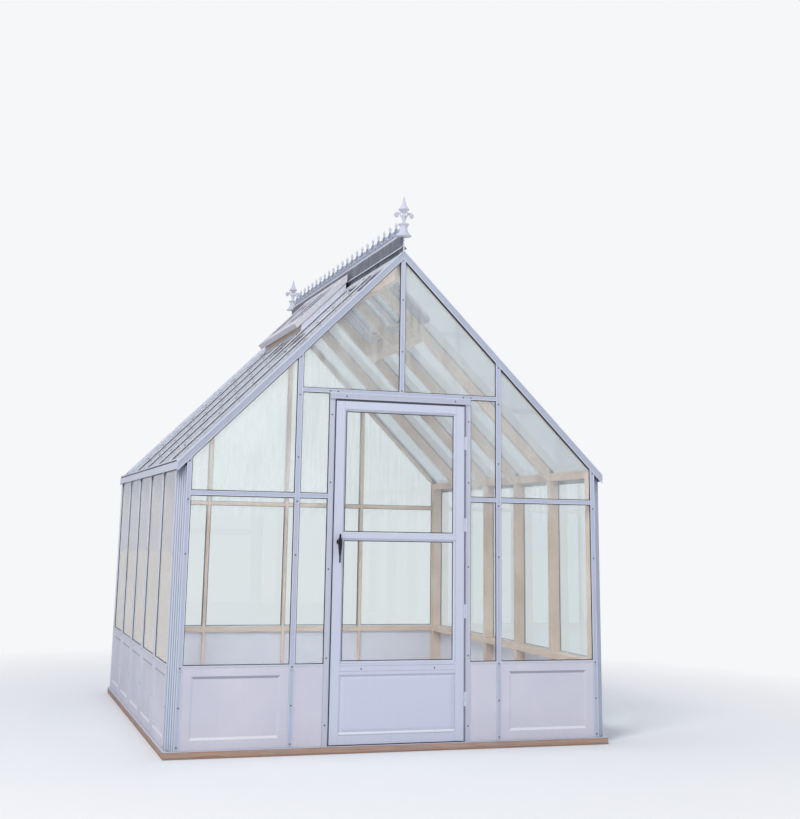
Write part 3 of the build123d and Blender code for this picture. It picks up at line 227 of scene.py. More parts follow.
def below_roof(tree, axes):
    """Distance below the roof's outer plane."""
    across = add(tree, "ShaderNodeMath", {0: axes["X"]}, operation="ABSOLUTE")
    drop = add(tree, "ShaderNodeMath", {
        0: add(tree, "ShaderNodeMath", {0: APEX, 1: across}, operation="SUBTRACT"), 1: axes["Z"],
    }, operation="SUBTRACT")
    return add(tree, "ShaderNodeMath", {0: drop, 1: math.sqrt(0.5)}, operation="MULTIPLY")


def round_corner(tree, axes):
    """Distance along a corner cover from one flute to the next."""
    across = add(tree, "ShaderNodeMath", {0: axes["X"]}, operation="ABSOLUTE")
    away = add(tree, "ShaderNodeMath", {0: axes["Y"]}, operation="ABSOLUTE")
    along = add(tree, "ShaderNodeMath", {
        0: add(tree, "ShaderNodeMath", {0: across, 1: away}, operation="SUBTRACT"), 1: math.sqrt(0.5),
    }, operation="MULTIPLY")
    start = (-FRONT - HALF_WIDTH) * math.sqrt(0.5) + FLUTE_PITCH * FLUTE_SHIFT
    return add(tree, "ShaderNodeMath", {
        0: add(tree, "ShaderNodeMath", {0: along, 1: start}, operation="ADD"), 1: FLUTE_PITCH,
    }, operation="MODULO")


# PVC-skinned panel: smooth, a little warmer than the aluminium, with faint waviness, painted shade
# on faces that look down under its mouldings and a painted highlight on faces that look up
def panel_skin():
    material, tree, output, place = new_finish("pvc_panel_skin")
    clouds = stretched_noise(tree, place, (3, 3, 3), 2.0)
    specks = stretched_noise(tree, place, (380, 380, 380), 2.0)
    streaks = stretched_noise(tree, place, (55, 55, 3), 4.0)
    height = add(tree, "ShaderNodeSeparateXYZ", {0: place}).outputs["Z"]
    near_ground = add(tree, "ShaderNodeMapRange", {
        "Value": height, "From Min": 0.04, "From Max": 0.22, "To Min": 1.0, "To Max": 0.0,
    })
    splash = add(tree, "ShaderNodeMath", {
        0: near_ground,
        1: add(tree, "ShaderNodeMapRange", {"Value": specks, "From Min": 0.45, "From Max": 0.7}),
    }, operation="MULTIPLY")
    skin = add(tree, "ShaderNodeMix", {
        0: add(tree, "ShaderNodeMapRange", {"Value": clouds, "From Min": 0.3, "From Max": 0.7}),
        6: colour("DDDBE7"), 7: colour("D2D1DF"),
    }, data_type="RGBA").outputs[2]
    skin = add(tree, "ShaderNodeMix", {
        0: add(tree, "ShaderNodeMath", {
            0: add(tree, "ShaderNodeMapRange", {"Value": streaks, "From Min": 0.5, "From Max": 0.8}),
            1: 0.12,
        }, operation="MULTIPLY"),
        6: skin, 7: colour("C9C7CF"),
    }, data_type="RGBA").outputs[2]
    skin = add(tree, "ShaderNodeMix", {
        0: add(tree, "ShaderNodeMath", {0: splash, 1: 0.35}, operation="MULTIPLY"), 6: skin,
        7: colour("94867A"),
    }, data_type="RGBA").outputs[2]
    # Painted shade on faces that look down, under the mouldings, and a painted highlight on faces that look
    # up
    facing = add(tree, "ShaderNodeNewGeometry").outputs["True Normal"]
    upwards = add(tree, "ShaderNodeSeparateXYZ", {0: facing}).outputs["Z"]
    skin = add(tree, "ShaderNodeMix", {
        0: add(tree, "ShaderNodeMapRange", {
            "Value": upwards, "From Min": -0.4, "From Max": -0.05, "To Min": 0.75, "To Max": 0.0,
        }),
        6: skin, 7: colour("747B90"),
    }, data_type="RGBA").outputs[2]
    skin = add(tree, "ShaderNodeMix", {
        0: add(tree, "ShaderNodeMapRange", {
            "Value": upwards, "From Min": 0.05, "From Max": 0.4, "To Min": 0.0, "To Max": 0.8,
        }),
        6: skin, 7: colour("F6F6FB"),
    }, data_type="RGBA").outputs[2]
    surface(tree, output, {
        "Base Color": skin,
        "Roughness": add(tree, "ShaderNodeMapRange", {
            "Value": clouds, "From Min": 0.3, "From Max": 0.7, "To Min": 0.38, "To Max": 0.5,
        }),
        "Normal": add(tree, "ShaderNodeBump", {"Height": clouds, "Strength": 0.15, "Distance": 0.002}),
        "IOR": 1.53,
    })
    return material


# Ridge cap: powder coat whose upright web is painted grey and streaky below the cresting, as painted shade
def ridge_coat():
    material, tree, output, place = new_finish("ridge_coat_painted_web_shade")
    axes = add(tree, "ShaderNodeSeparateXYZ", {0: place}).outputs
    streaks = stretched_noise(tree, place, (30, 16, 5), 5.0, 0.6)
    clouds = stretched_noise(tree, place, (6, 6, 6), 4.0)
    across = add(tree, "ShaderNodeMath", {0: axes["X"]}, operation="ABSOLUTE")
    behind_end = add(tree, "ShaderNodeMath", {
        0: add(tree, "ShaderNodeMath", {0: axes["Y"]}, operation="ABSOLUTE"), 1: -FRONT - 0.0005,
    }, operation="LESS_THAN")
    on_web = add(tree, "ShaderNodeMath", {
        0: add(tree, "ShaderNodeMath", {0: across, 1: HALF_WEB}, operation="LESS_THAN"), 1: behind_end,
    }, operation="MULTIPLY")
    under_band = add(tree, "ShaderNodeMapRange", {
        "Value": axes["Z"], "From Min": RIDGE_TOP - 0.012, "From Max": RIDGE_TOP - 0.004, "To Min": 1.0,
        "To Max": 0.0,
    })
    streaky = add(tree, "ShaderNodeMapRange", {
        "Value": streaks, "From Min": 0.2, "From Max": 0.5, "To Min": 0.75, "To Max": 0.97,
    })
    # The web's grey is painted shade
    web_shade = add(tree, "ShaderNodeMath", {
        0: add(tree, "ShaderNodeMath", {0: on_web, 1: under_band}, operation="MULTIPLY"), 1: streaky,
    }, operation="MULTIPLY")
    grey = add(tree, "ShaderNodeMix", {
        0: add(tree, "ShaderNodeMapRange", {"Value": streaks, "From Min": 0.3, "From Max": 0.7}),
        6: colour("7B808C"), 7: colour("5F636E"),
    }, data_type="RGBA").outputs[2]
    coat = add(tree, "ShaderNodeMix", {
        0: add(tree, "ShaderNodeMapRange", {"Value": clouds, "From Min": 0.4, "From Max": 0.7}),
        6: colour("E2E4EC"), 7: colour("CFD2DB"),
    }, data_type="RGBA").outputs[2]
    surface(tree, output, {
        "Base Color": add(tree, "ShaderNodeMix", {
            0: web_shade, 6: coat, 7: grey,
        }, data_type="RGBA").outputs[2],
        "IOR": 1.5,
        "Roughness": add(tree, "ShaderNodeMapRange", {
            "Value": web_shade, "From Min": 0.0, "From Max": 1.0, "To Min": 0.4, "To Max": 0.7,
        }),
    })
    return material


# Planed softwood: pinkish tan, grain along the member, darker growth lines
def softwood(name, grain, pale, dark):
    material, tree, output, place = new_finish(name)
    rings = stretched_noise(tree, place, grain, 6.0, 0.62)
    fine = stretched_noise(tree, place, [g * 5 for g in grain], 3.0, 0.7)
    clouds = stretched_noise(tree, place, (4, 4, 4), 2.0)
    growth = add(tree, "ShaderNodeMapRange", {
        "Value": add(tree, "ShaderNodeMath", {
            0: add(tree, "ShaderNodeMath", {0: rings, 1: RINGS}, operation="MULTIPLY"),
        }, operation="FRACT"),
        "From Min": 0.72, "From Max": 1.0,
    })
    wood = add(tree, "ShaderNodeMix", {
        0: add(tree, "ShaderNodeMapRange", {"Value": clouds, "From Min": 0.3, "From Max": 0.7}),
        6: colour(pale), 7: colour(dark),
    }, data_type="RGBA").outputs[2]
    wood = add(tree, "ShaderNodeMix", {
        0: add(tree, "ShaderNodeMath", {0: growth, 1: 0.55}, operation="MULTIPLY"), 6: wood,
        7: colour("AC8B77"),
    }, data_type="RGBA").outputs[2]
    wood = add(tree, "ShaderNodeMix", {
        0: add(tree, "ShaderNodeMapRange", {
            "Value": fine, "From Min": 0.5, "From Max": 0.9, "To Min": 0.0, "To Max": 0.5,
        }),
        6: wood, 7: colour(dark),
    }, data_type="RGBA").outputs[2]
    surface(tree, output, {
        "Base Color": wood,
        "Roughness": add(tree, "ShaderNodeMapRange", {
            "Value": fine, "From Min": 0.2, "From Max": 0.8, "To Min": 0.47, "To Max": 0.67,
        }),
        "Normal": add(tree, "ShaderNodeBump", {"Height": fine, "Strength": 0.35, "Distance": 0.0006}),
        "IOR": 1.5,
    })
    return material


# Treated sill timber: sawn, greyed and wet at the ground, with checks along the grain
def treated_timber():
    material, tree, output, place = new_finish("treated_sill_timber")
    axes = add(tree, "ShaderNodeSeparateXYZ", {0: place}).outputs
    along_x = stretched_noise(tree, place, (5, 160, 240), 6.0, 0.65)
    along_y = stretched_noise(tree, place, (160, 5, 240), 6.0, 0.65)
    on_gable = add(tree, "ShaderNodeMath", {
        0: add(tree, "ShaderNodeMath", {0: axes["Y"]}, operation="ABSOLUTE"), 1: -FRONT - SILL_DEPTH,
    }, operation="GREATER_THAN")
    grain = add(tree, "ShaderNodeMix", {0: on_gable, 2: along_y, 3: along_x})
    clouds = stretched_noise(tree, place, (7, 7, 25), 4.0)
    wood = add(tree, "ShaderNodeMix", {
        0: add(tree, "ShaderNodeMapRange", {"Value": grain, "From Min": 0.3, "From Max": 0.7}),
        6: colour("CDAE9B"), 7: colour("A07E6B"),
    }, data_type="RGBA").outputs[2]
    wood = add(tree, "ShaderNodeMix", {
        0: add(tree, "ShaderNodeMapRange", {
            "Value": clouds, "From Min": 0.45, "From Max": 0.75, "To Min": 0.0, "To Max": 0.6,
        }),
        6: wood, 7: colour("ADA199"),
    }, data_type="RGBA").outputs[2]
    damp = add(tree, "ShaderNodeMapRange", {
        "Value": axes["Z"], "From Min": 0.0, "From Max": 0.014, "To Min": 0.6, "To Max": 0.0,
    })
    wood = add(tree, "ShaderNodeMix", {
        0: damp, 6: wood, 7: colour("6B5548"),
    }, data_type="RGBA").outputs[2]
    checked = add(tree, "ShaderNodeMath", {
        0: grain, 1: add(tree, "ShaderNodeMapRange", {"Value": grain, "From Min": 0.62, "From Max": 0.7}),
    }, operation="SUBTRACT")
    surface(tree, output, {
        "Base Color": wood, "Roughness": 0.78,
        "Normal": add(tree, "ShaderNodeBump", {"Height": checked, "Strength": 0.7, "Distance": 0.0012}),
        "IOR": 1.5,
    })
    return material


# Float glass: clear, or fogged by condensation that has run in streaks. Lamps reach
# through it, as they do through real panes
def glazing(name, fog_from, fog_to, most_fog, runs_per_metre, dust=0.0, tint="F1F5F5"):
    material, tree, output, place = new_finish(name)
    height = add(tree, "ShaderNodeSeparateXYZ", {0: place}).outputs["Z"]
    runs = stretched_noise(tree, place, runs_per_metre, 5.0, 0.6)
    clouds = stretched_noise(tree, place, (2.6, 2.6, 2.2), 3.0)
    mist = add(tree, "ShaderNodeMath", {
        0: add(tree, "ShaderNodeMapRange", {"Value": height, "From Min": fog_from, "From Max": fog_to}),
        1: most_fog,
    }, operation="MULTIPLY")
    patchy = add(tree, "ShaderNodeMapRange", {
        "Value": clouds, "From Min": 0.28, "From Max": 0.62, "To Min": 0.45, "To Max": 1.0,
    })
    streaky = add(tree, "ShaderNodeMapRange", {
        "Value": runs, "From Min": 0.34, "From Max": 0.6, "To Min": 0.35, "To Max": 1.0,
    })
    fog = add(tree, "ShaderNodeMath", {
        0: mist, 1: add(tree, "ShaderNodeMath", {0: patchy, 1: streaky}, operation="MULTIPLY"),
    }, operation="MULTIPLY")
    drops = add(tree, "ShaderNodeTexVoronoi", {
        "Vector": place, "Scale": 170.0, "Randomness": 1.0,
    }, feature="SMOOTH_F1").outputs["Distance"]
    beads = add(tree, "ShaderNodeMath", {
        0: add(tree, "ShaderNodeMapRange", {
            "Value": drops, "From Min": 0.1, "From Max": 0.5, "To Min": 1.0, "To Max": 0.0,
        }),
        1: fog,
    }, operation="MULTIPLY")
    veil = add(tree, "ShaderNodeMath", {
        0: add(tree, "ShaderNodeMath", {0: fog, 1: 0.2}, operation="MULTIPLY"), 1: dust,
    }, operation="ADD")
    veil = add(tree, "ShaderNodeMath", {
        0: veil, 1: add(tree, "ShaderNodeMath", {0: beads, 1: 0.14}, operation="MULTIPLY"),
    }, operation="ADD")
    pane = add(tree, "ShaderNodeBsdfPrincipled", {
        "Base Color": colour(tint), "IOR": 1.5,
        "Roughness": add(tree, "ShaderNodeMapRange", {
            "Value": fog, "From Min": 0.0, "From Max": 1.0, "To Min": 0.0, "To Max": 0.09,
        }),
        "Transmission Weight": add(tree, "ShaderNodeMath", {0: 1.0, 1: veil}, operation="SUBTRACT"),
    })
    through = add(tree, "ShaderNodeBsdfTransparent", {"Color": colour("F4F7F6")})
    lamp_ray = add(tree, "ShaderNodeLightPath").outputs["Is Shadow Ray"]
    tree.links.new(
        add(tree, "ShaderNodeMixShader", {0: lamp_ray, 1: pane, 2: through}).outputs[0], output.inputs[0],
    )
    return material


# Small finishes, each with its own mottled skin: zinc screws, rubber and black enamel
def small_finish(name, base, other, metallic, roughness, per_metre, strength):
    material, tree, output, place = new_finish(name)
    mottle = stretched_noise(tree, place, (per_metre,) * 3, 3.0)
    surface(tree, output, {
        "Base Color": add(tree, "ShaderNodeMix", {
            0: add(tree, "ShaderNodeMapRange", {"Value": mottle, "From Min": 0.35, "From Max": 0.7}),
            6: colour(base), 7: colour(other),
        }, data_type="RGBA").outputs[2],
        "Roughness": add(tree, "ShaderNodeMapRange", {
            "Value": mottle, "From Min": 0.3, "From Max": 0.7, "To Min": roughness - 0.07,
            "To Max": roughness + 0.1,
        }),
        "Normal": add(tree, "ShaderNodeBump", {
            "Height": mottle, "Strength": strength, "Distance": SKIN_DEPTH,
        }),
        "Metallic": metallic,
    })
    return material


WHITE = powder_coat("powder_coated_aluminium", "DADEEB", "B1B6C6")
DOOR_WHITE = powder_coat("powder_coated_door", "D3D8EA", "B7BDCF", 0.14, 0.3, 0.34, 0.25)
JAMB_WHITE = powder_coat("powder_coated_jamb", "C8CCDC", "A4A9BB")
VENT_WHITE = powder_coat("powder_coated_vent", "DDDAE3", "B1ADB6")
CAST_WHITE = powder_coat("painted_casting", "CFD4E1", "A3A8B5", 0.1, 0.0, 0.4)
# Rake and corner cover coats with painted shade along their grooves and bead steps
RAKE_WHITE = coat_with_lines(
    "powder_coated_rake", "D3DAEC", "AFB5C6", below_roof,
    ((0.0074, 0.0012), (0.015, 0.0017), (0.024, 0.0017), (0.0316, 0.0012)), 0.6,
)
COVER_WHITE = coat_with_lines(
    "powder_coated_cover", "CDD4E6", "A5ACBD", round_corner, ((FLUTE_PITCH / 2, 0.0016),), 0.7,
)
# Painted shade towards the corner covers' tops, under the rake's end
shaded_under(COVER_WHITE, 1.38, 1.60, "565D6D")
# A darker copy of the coat for the strips' channels: painted shade in the channel
CHANNEL_PAINTED_SHADE = powder_coat("powder_coated_channel_painted_shade", "BCC4DA", "A0A8BC")
# A darker copy of the casting's coat: painted shade on the crest's plate behind the scrolls and in the lock
# rail's score lines
CAST_SHADE = powder_coat("painted_casting_recess", "8F98AE", "6D768B", 0.1, 0.0, 0.6)
# A brighter copy of the coat: painted highlight on the pane foot lips and the door panel's ledge
LIP_PAINTED_HIGHLIGHT = powder_coat("powder_coated_lip_painted_highlight", "EEF0F6", "C4C8D2", 0.1, 0.0)
PANEL = panel_skin()
RIDGE = ridge_coat()
STUD_WOOD = softwood("planed_softwood_upright", (150, 150, 5), "E0CDC1", "D0B8A9")
PLATE_WOOD = softwood("planed_softwood_lengthwise", (150, 5, 150), "E0C8BB", "CFB2A2")
RAFTER_WOOD = softwood("planed_softwood_rafter", (28, 150, 28), "E2D2C8", "D3BFB3")
SILL_WOOD = treated_timber()
WALL_RUNS = (40, 40, 2.4)
ROOF_RUNS = (3, 40, 3)
WALL_GLASS = glazing("float_glass_wall", 1.28, 1.47, 0.85, WALL_RUNS)
SIDE_GLASS = glazing("float_glass_side", 1.2, 1.7, 0.25, WALL_RUNS, 0.0, "E6ECEE")
DOOR_GLASS = glazing("float_glass_door", 1.2, 1.5, 0.35, WALL_RUNS)
ROOF_GLASS = glazing("float_glass_roof", 1.2, 1.9, 0.55, ROOF_RUNS, 0.02, "CBD2D8")
VENT_GLASS = glazing("float_glass_vent", 1.2, 1.9, 0.15, ROOF_RUNS, 0.0, "98A2AA")
SCREW = small_finish("zinc_screw", "4A4C55", "6A6C74", 0.85, 0.4, 900, 0.2)
GASKET = small_finish("rubber_gasket", "17181A", "26272A", 0.0, 0.6, 700, 0.3)
BLACK = small_finish("black_enamel", "0B0B0D", "16161A", 0.0, 0.22, 240, 0.15)

WALL_NAMES = ("front", "rear", "left", "right")
UPRIGHTS = ("corner_posts", *(wall + "_wall_frame" for wall in WALL_NAMES))
KNEE_PANELS = tuple(wall + "_knee_panels" for wall in WALL_NAMES)
PLATES = ("eave_plates", "ridge_beam")
RAFTERS = ("rafters_left", "rafters_right")
RAKES = ("rake_trim_left", "rake_trim_right")
VENTS = ("roof_vent_left", "roof_vent_right")
WORN_BY = (
    (SILL_WOOD, ("sill_timbers",)),
    (STUD_WOOD, UPRIGHTS),
    (PLATE_WOOD, PLATES),
    (RAFTER_WOOD, RAFTERS),
    (PANEL, KNEE_PANELS),
    (WALL_GLASS, ("front_glass", "rear_glass")),
    (SIDE_GLASS, ("left_glass", "right_glass")),
    (ROOF_GLASS, ("roof_glass_left", "roof_glass_right")),
    (VENT_GLASS, ("roof_vent_glass",)),
    (RIDGE, ("ridge_cap",)),
    (RAKE_WHITE, RAKES),
    (COVER_WHITE, ("corner_covers",)),
    (JAMB_WHITE, ("door_frame",)),
    (VENT_WHITE, VENTS),
    (CAST_WHITE, ("ridge_cresting", "ridge_finials")),
    (DOOR_WHITE, ("door_leaf", "door_panel", "door_hinges")),
    (DOOR_GLASS, ("door_glass",)),
    (BLACK, ("door_handle",)),
)
FINISHES = {node_name: finish for finish, node_names in WORN_BY for node_name in node_names}
for node_name, node_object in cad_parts.items():
    finish = FINISHES.get(node_name, WHITE)
    if not node_object.data.materials:
        node_object.data.materials.append(finish)
    for slot in node_object.material_slots:
        slot.link = "OBJECT"
        slot.material = finish


# The walls, each seen from outside: where it starts, which way is right, and outwards
WALLS = {
    "front": (Vector((0, FRONT, 0)), Vector((1, 0, 0)), Vector((0, -1, 0))),
    "rear": (Vector((0, REAR, 0)), Vector((-1, 0, 0)), Vector((0, 1, 0))),
    "left": (Vector((-HALF_WIDTH, 0, 0)), Vector((0, -1, 0)), Vector((-1, 0, 0))),
    "right": (Vector((HALF_WIDTH, 0, 0)), Vector((0, 1, 0)), Vector((1, 0, 0))),
}


def on_wall(wall, across, height, deep=0.0):
    """A point of a wall, across to the right, up, and inwards from the cap strips' face."""
    start, right, outward = WALLS[wall]
    return start + right * across + Vector((0, 0, height)) - outward * deep


def roof_height(x, below=0.0):
    """Height of the roof plane at x, some depth below its outer face."""
    return APEX - abs(x) - below * math.sqrt(2)


def linked(name, data):
    """A new object in the scene."""
    made = bpy.data.objects.new(name, data)
    bpy.context.collection.objects.link(made)
    return made


def as_mesh(holder):
    """The finished faces of an object as a plain mesh. The object goes."""
    graph = bpy.context.evaluated_depsgraph_get()
    mesh = bpy.data.meshes.new_from_object(holder.evaluated_get(graph))
    holder.modifiers.clear()
    bpy.data.objects.remove(holder)
    return mesh


def placed(name, mesh, finish, body="house"):
    """Puts a finished mesh in the scene on its body, with its finish."""
    piece = linked(name, mesh)
    if not mesh.materials:
        mesh.materials.append(finish)
    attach(piece, body)
    return piece


def grown(name, tree, marks, inputs):
    """Runs a Geometry Nodes tree on a mesh of marks and returns the result as a plain mesh."""
    carrier = linked(name, marks)
    modifier = carrier.modifiers.new(name, "NODES")
    modifier.node_group = tree
    for item in tree.interface.items_tree:
        if item.name in inputs:
            modifier[item.identifier] = inputs[item.name]
    return as_mesh(carrier)


def new_tree(name, sockets):
    """A Geometry Nodes tree with named inputs, its group input and its output."""
    tree = bpy.data.node_groups.new(name, "GeometryNodeTree")
    tree.interface.new_socket("Geometry", in_out="INPUT", socket_type="NodeSocketGeometry")
    for label, kind, value in sockets:
        socket = tree.interface.new_socket(label, in_out="INPUT", socket_type=kind)
        if value is not None:
            socket.default_value = value
    tree.interface.new_socket("Geometry", in_out="OUTPUT", socket_type="NodeSocketGeometry")
    return tree, add(tree, "NodeGroupInput").outputs, add(tree, "NodeGroupOutput")


# The model's own pieces with their edges eased, as extruded, planed and moulded edges are
def eased(name, body, width, channel=None):
    """A copy of a CAD piece with narrow rounded edges. channel picks the faces of a strip's channel, which
    get the darker coat of painted shade.
    """
    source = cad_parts[name]
    shape = bmesh.new()
    shape.from_mesh(source.data)
    shape.transform(source.matrix_world)
    bmesh.ops.remove_doubles(shape, verts=shape.verts, dist=1e-6)
    bmesh.ops.dissolve_limit(
        shape, angle_limit=0.01, use_dissolve_boundaries=False, verts=shape.verts, edges=shape.edges,
    )
    shape.normal_update()
    for face in shape.faces:
        face.material_index = 1 if channel and channel(face) else 0
    sharp = [edge for edge in shape.edges if len(edge.link_faces) == 2 and edge.calc_face_angle(0.0) > 0.5]
    bmesh.ops.bevel(
        shape, geom=sharp, offset=width, offset_type="OFFSET", segments=2, profile=0.5,
        affect="EDGES", clamp_overlap=True, material=-1,
    )
    mesh = bpy.data.meshes.new(name + "_eased")
    shape.to_mesh(mesh)
    shape.free()
    finish = source.material_slots[0].material
    mesh.materials.append(finish)
    if channel:
        mesh.materials.append(CHANNEL_PAINTED_SHADE)
    piece = placed(name + "_eased", mesh, finish, body)
    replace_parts(piece, name)


def channel_at(axis, distance):
    """Picks the faces of a strip's channel: flat across X or Y, at a distance from the middle."""
    def picked(face):
        flat = abs(abs(face.normal[axis]) - 1) < 0.01
        return flat and abs(abs(face.calc_center_median()[axis]) - distance) < 0.0002
    return picked


CHANNEL = 0.0012
TRIM = (
    "wall_sills", "base_lip", *RAKES, "eave_trim", "roof_bars_left", "roof_bars_right", *VENTS, "door_frame",
)
for node_names, body, slot_name, width, channel in (
    (("front_caps", "rear_caps"), "house", "white_enamel", 0.0009, channel_at(1, -FRONT - CHANNEL)),
    (("left_caps", "right_caps"), "house", "white_enamel", 0.0009, channel_at(0, HALF_WIDTH - CHANNEL)),
    (TRIM, "house", "white_enamel", 0.0009, None),
    (KNEE_PANELS, "house", "white_enamel", 0.0008, None),
    (UPRIGHTS + PLATES + RAFTERS, "house", "frame_timber", 0.0016, None),
    (("sill_timbers",), "house", "treated_timber", 0.0025, None),
    (("door_leaf",), "door", "white_enamel", 0.0012, None),
):
    for node_name in node_names:
        eased(node_name, body, width, channel)


def made_real(tree, spots, given, result):
    """Ends a tree: its instances become plain faces with the tree's finish."""
    solid = add(tree, "GeometryNodeRealizeInstances", {0: spots.outputs[0]})
    coated = add(tree, "GeometryNodeSetMaterial", {"Geometry": solid.outputs[0], "Material": given["Finish"]})
    tree.links.new(coated.outputs[0], result.inputs[0])
    return tree


# Pan-head screws: a domed head on a thin washer at every mark, square to its surface
def screw_tree():
    tree, given, result = new_tree("screws_on_marks", (
        ("Head radius", "NodeSocketFloat", 0.0046),
        ("Head height", "NodeSocketFloat", 0.0024),
        ("Washer height", "NodeSocketFloat", 0.0007),
        ("Finish", "NodeSocketMaterial", None),
    ))
    ball = add(tree, "GeometryNodeMeshUVSphere", {"Segments": 12, "Rings": 6, "Radius": given["Head radius"]})
    flat = add(tree, "ShaderNodeMath", {
        0: given["Head height"], 1: given["Head radius"],
    }, operation="DIVIDE")
    squash = add(tree, "ShaderNodeCombineXYZ", {0: 0.8, 1: 0.8, 2: flat})
    head = add(tree, "GeometryNodeTransform", {"Geometry": ball.outputs["Mesh"], "Scale": squash.outputs[0]})
    washer = add(tree, "GeometryNodeMeshCylinder", {
        "Vertices": 14, "Radius": given["Head radius"], "Depth": given["Washer height"],
    })
    screw = add(tree, "GeometryNodeJoinGeometry", {0: head.outputs[0]})
    tree.links.new(washer.outputs["Mesh"], screw.inputs[0])
    facing = add(tree, "GeometryNodeInputNamedAttribute", {"Name": "facing"}, data_type="FLOAT_VECTOR")
    turn = add(tree, "FunctionNodeAlignEulerToVector", {"Vector": facing.outputs["Attribute"]}, axis="Z")
    spots = add(tree, "GeometryNodeInstanceOnPoints", {
        "Points": given["Geometry"], "Instance": screw.outputs[0], "Rotation": turn.outputs[0],
    })
    return made_real(tree, spots, given, result)


def screws(name, tree, spots, body, inputs=None):
    """Screws at spots, each a place and the way it faces."""
    marks = bpy.data.meshes.new(name + "_marks")
    marks.from_pydata([tuple(place) for place, _ in spots], [], [])
    facing = marks.attributes.new("facing", "FLOAT_VECTOR", "POINT")
    for index, (_, way) in enumerate(spots):
        facing.data[index].vector = way
    placed(name, grown(name, tree, marks, {"Finish": SCREW, **(inputs or {})}), SCREW, body)


SCREWS = screw_tree()


def wall_screws(wall, across, heights, deep=CHANNEL):
    """Screws up one cap strip of a wall."""
    outward = WALLS[wall][2]
    return [(on_wall(wall, across, z, deep), outward) for z in heights]


# Heights of the screws in the strips, from the ground up
LOWER = (0.060, 0.264, 0.472, 1.088)
CORNER_RUN = LOWER + (1.388, 1.603)
MULLION_RUN = LOWER + (1.391, 1.645, 2.010, 2.235)
CENTRE_RUN = LOWER + (1.391, 1.645, 2.010, 2.302, 2.623)
ABOVE_DOOR = (2.062, 2.302, 2.623)
LEFT_JAMB_RUN = (0.154, 0.517, 1.010, 1.505, 1.901)
RIGHT_JAMB_RUN = (0.127, 0.521, 1.030, 1.526, 1.893)
SIDE_RUN = LOWER + (1.520,)
JAMB_SCREW_X = 0.434
HEAD_BAR_SCREWS = ((0.448, 2.041), (0.400, 2.041))
HEADER_SCREW = (0.346, 2.014)
spots = []
for side in (-1, 1):
    for wall in ("front", "rear"):
        spots += wall_screws(wall, side * CORNER_X, CORNER_RUN)
        spots += wall_screws(wall, side * MULLION_X, MULLION_RUN)
    for x, z in HEAD_BAR_SCREWS:
        spots += wall_screws("front", side * x, (z,))
    spots += wall_screws("front", side * HEADER_SCREW[0], HEADER_SCREW[1:], 0.0)
spots += wall_screws("front", 0.0, ABOVE_DOOR)
spots += wall_screws("rear", 0.0, CENTRE_RUN)
spots += wall_screws("front", -JAMB_SCREW_X, LEFT_JAMB_RUN, 0.0)
spots += wall_screws("front", JAMB_SCREW_X, RIGHT_JAMB_RUN, 0.0)
END_STRIP = 0.064
strip_ends = (FRONT + END_STRIP, REAR - END_STRIP)
for wall, turn in (("left", -1), ("right", 1)):
    for y in list(strip_ends) + BARS:
        spots += wall_screws(wall, turn * y, SIDE_RUN)
screws("wall_screws", SCREWS, spots, "house")

# Screws of the roof bars, down each slope
ROOF_SCREWS = 12
FIRST_ROOF_SCREW = 0.07
ROOF_SCREW_STEP = 0.103
spots = []
for side in (-1, 1):
    outward = Vector((side, 0, 1)).normalized()
    for y in BARS:
        for k in range(ROOF_SCREWS):
            x = FIRST_ROOF_SCREW + ROOF_SCREW_STEP * k
            spots.append((Vector((side * x, y, roof_height(x, 0.004))), outward))
screws("roof_bar_screws", SCREWS, spots, "house", {
    "Head radius": 0.0085, "Head height": 0.0055, "Washer height": 0.002, "Finish": BLACK,
})

# Screws of the door's lock rail
screws("lock_rail_screws", SCREWS, [
    (on_wall("front", x, 0.455, 0.002), WALLS["front"][2]) for x in (-0.224, 0.224)
], "door")


def closed(shape, near, far):
    """Closes the solid between two loops of as many corners."""
    near = [shape.verts.new(corner) for corner in near]
    far = [shape.verts.new(corner) for corner in far]
    shape.faces.new(near)
    shape.faces.new(list(reversed(far)))
    skinned(shape, far, near)


def skinned(shape, first, second):
    """Faces between two loops of vertices."""
    for i in range(len(first)):
        j = (i + 1) % len(first)
        shape.faces.new((first[i], first[j], second[j], second[i]))


def oblong(u0, u1, v0, v1):
    """The corners between two pairs of edges."""
    return [(u0, v0), (u1, v0), (u1, v1), (u0, v1)]


def prism(shape, wall, outline, outer, inner):
    """A flat prism of a wall, from its outline between two depths."""
    near, far = ([on_wall(wall, u, z, deep) for u, z in outline] for deep in (outer, inner))
    closed(shape, near, far)


def inward(start, end, middle):
    """The unit normal of an edge that points to the middle."""
    run = (end - start).normalized()
    normal = Vector((-run.y, run.x))
    return -normal if normal.dot(middle - end) < 0 else normal


def ring(shape, wall, corners, width, outer, inner):
    """A mitred frame inside a polygon, one prism an edge."""
    corners = [Vector(corner) for corner in corners]
    count = len(corners)
    middle = sum(corners, Vector((0, 0))) / count
    inset = []
    for i, here in enumerate(corners):
        first = inward(corners[i - 1], here, middle)
        second = inward(here, corners[(i + 1) % count], middle)
        inset.append(here + (first + second) / (1 + first.dot(second)) * width)
    for i in range(count):
        j = (i + 1) % count
        prism(shape, wall, (corners[i], corners[j], inset[j], inset[i]), outer, inner)


def box_piece(shape, first, last):
    """A straight bar between two opposite corners."""
    (x0, x1), (y0, y1), (z0, z1) = (sorted(pair) for pair in zip(first, last))
    foot = oblong(x0, x1, y0, y1)
    closed(shape, [(x, y, z1) for x, y in foot], [(x, y, z0) for x, y in foot])


def outwards(shape, mesh):
    """Writes a bmesh to a mesh, with its faces outwards."""
    bmesh.ops.recalc_face_normals(shape, faces=shape.faces)
    shape.to_mesh(mesh)
    shape.free()
    return mesh


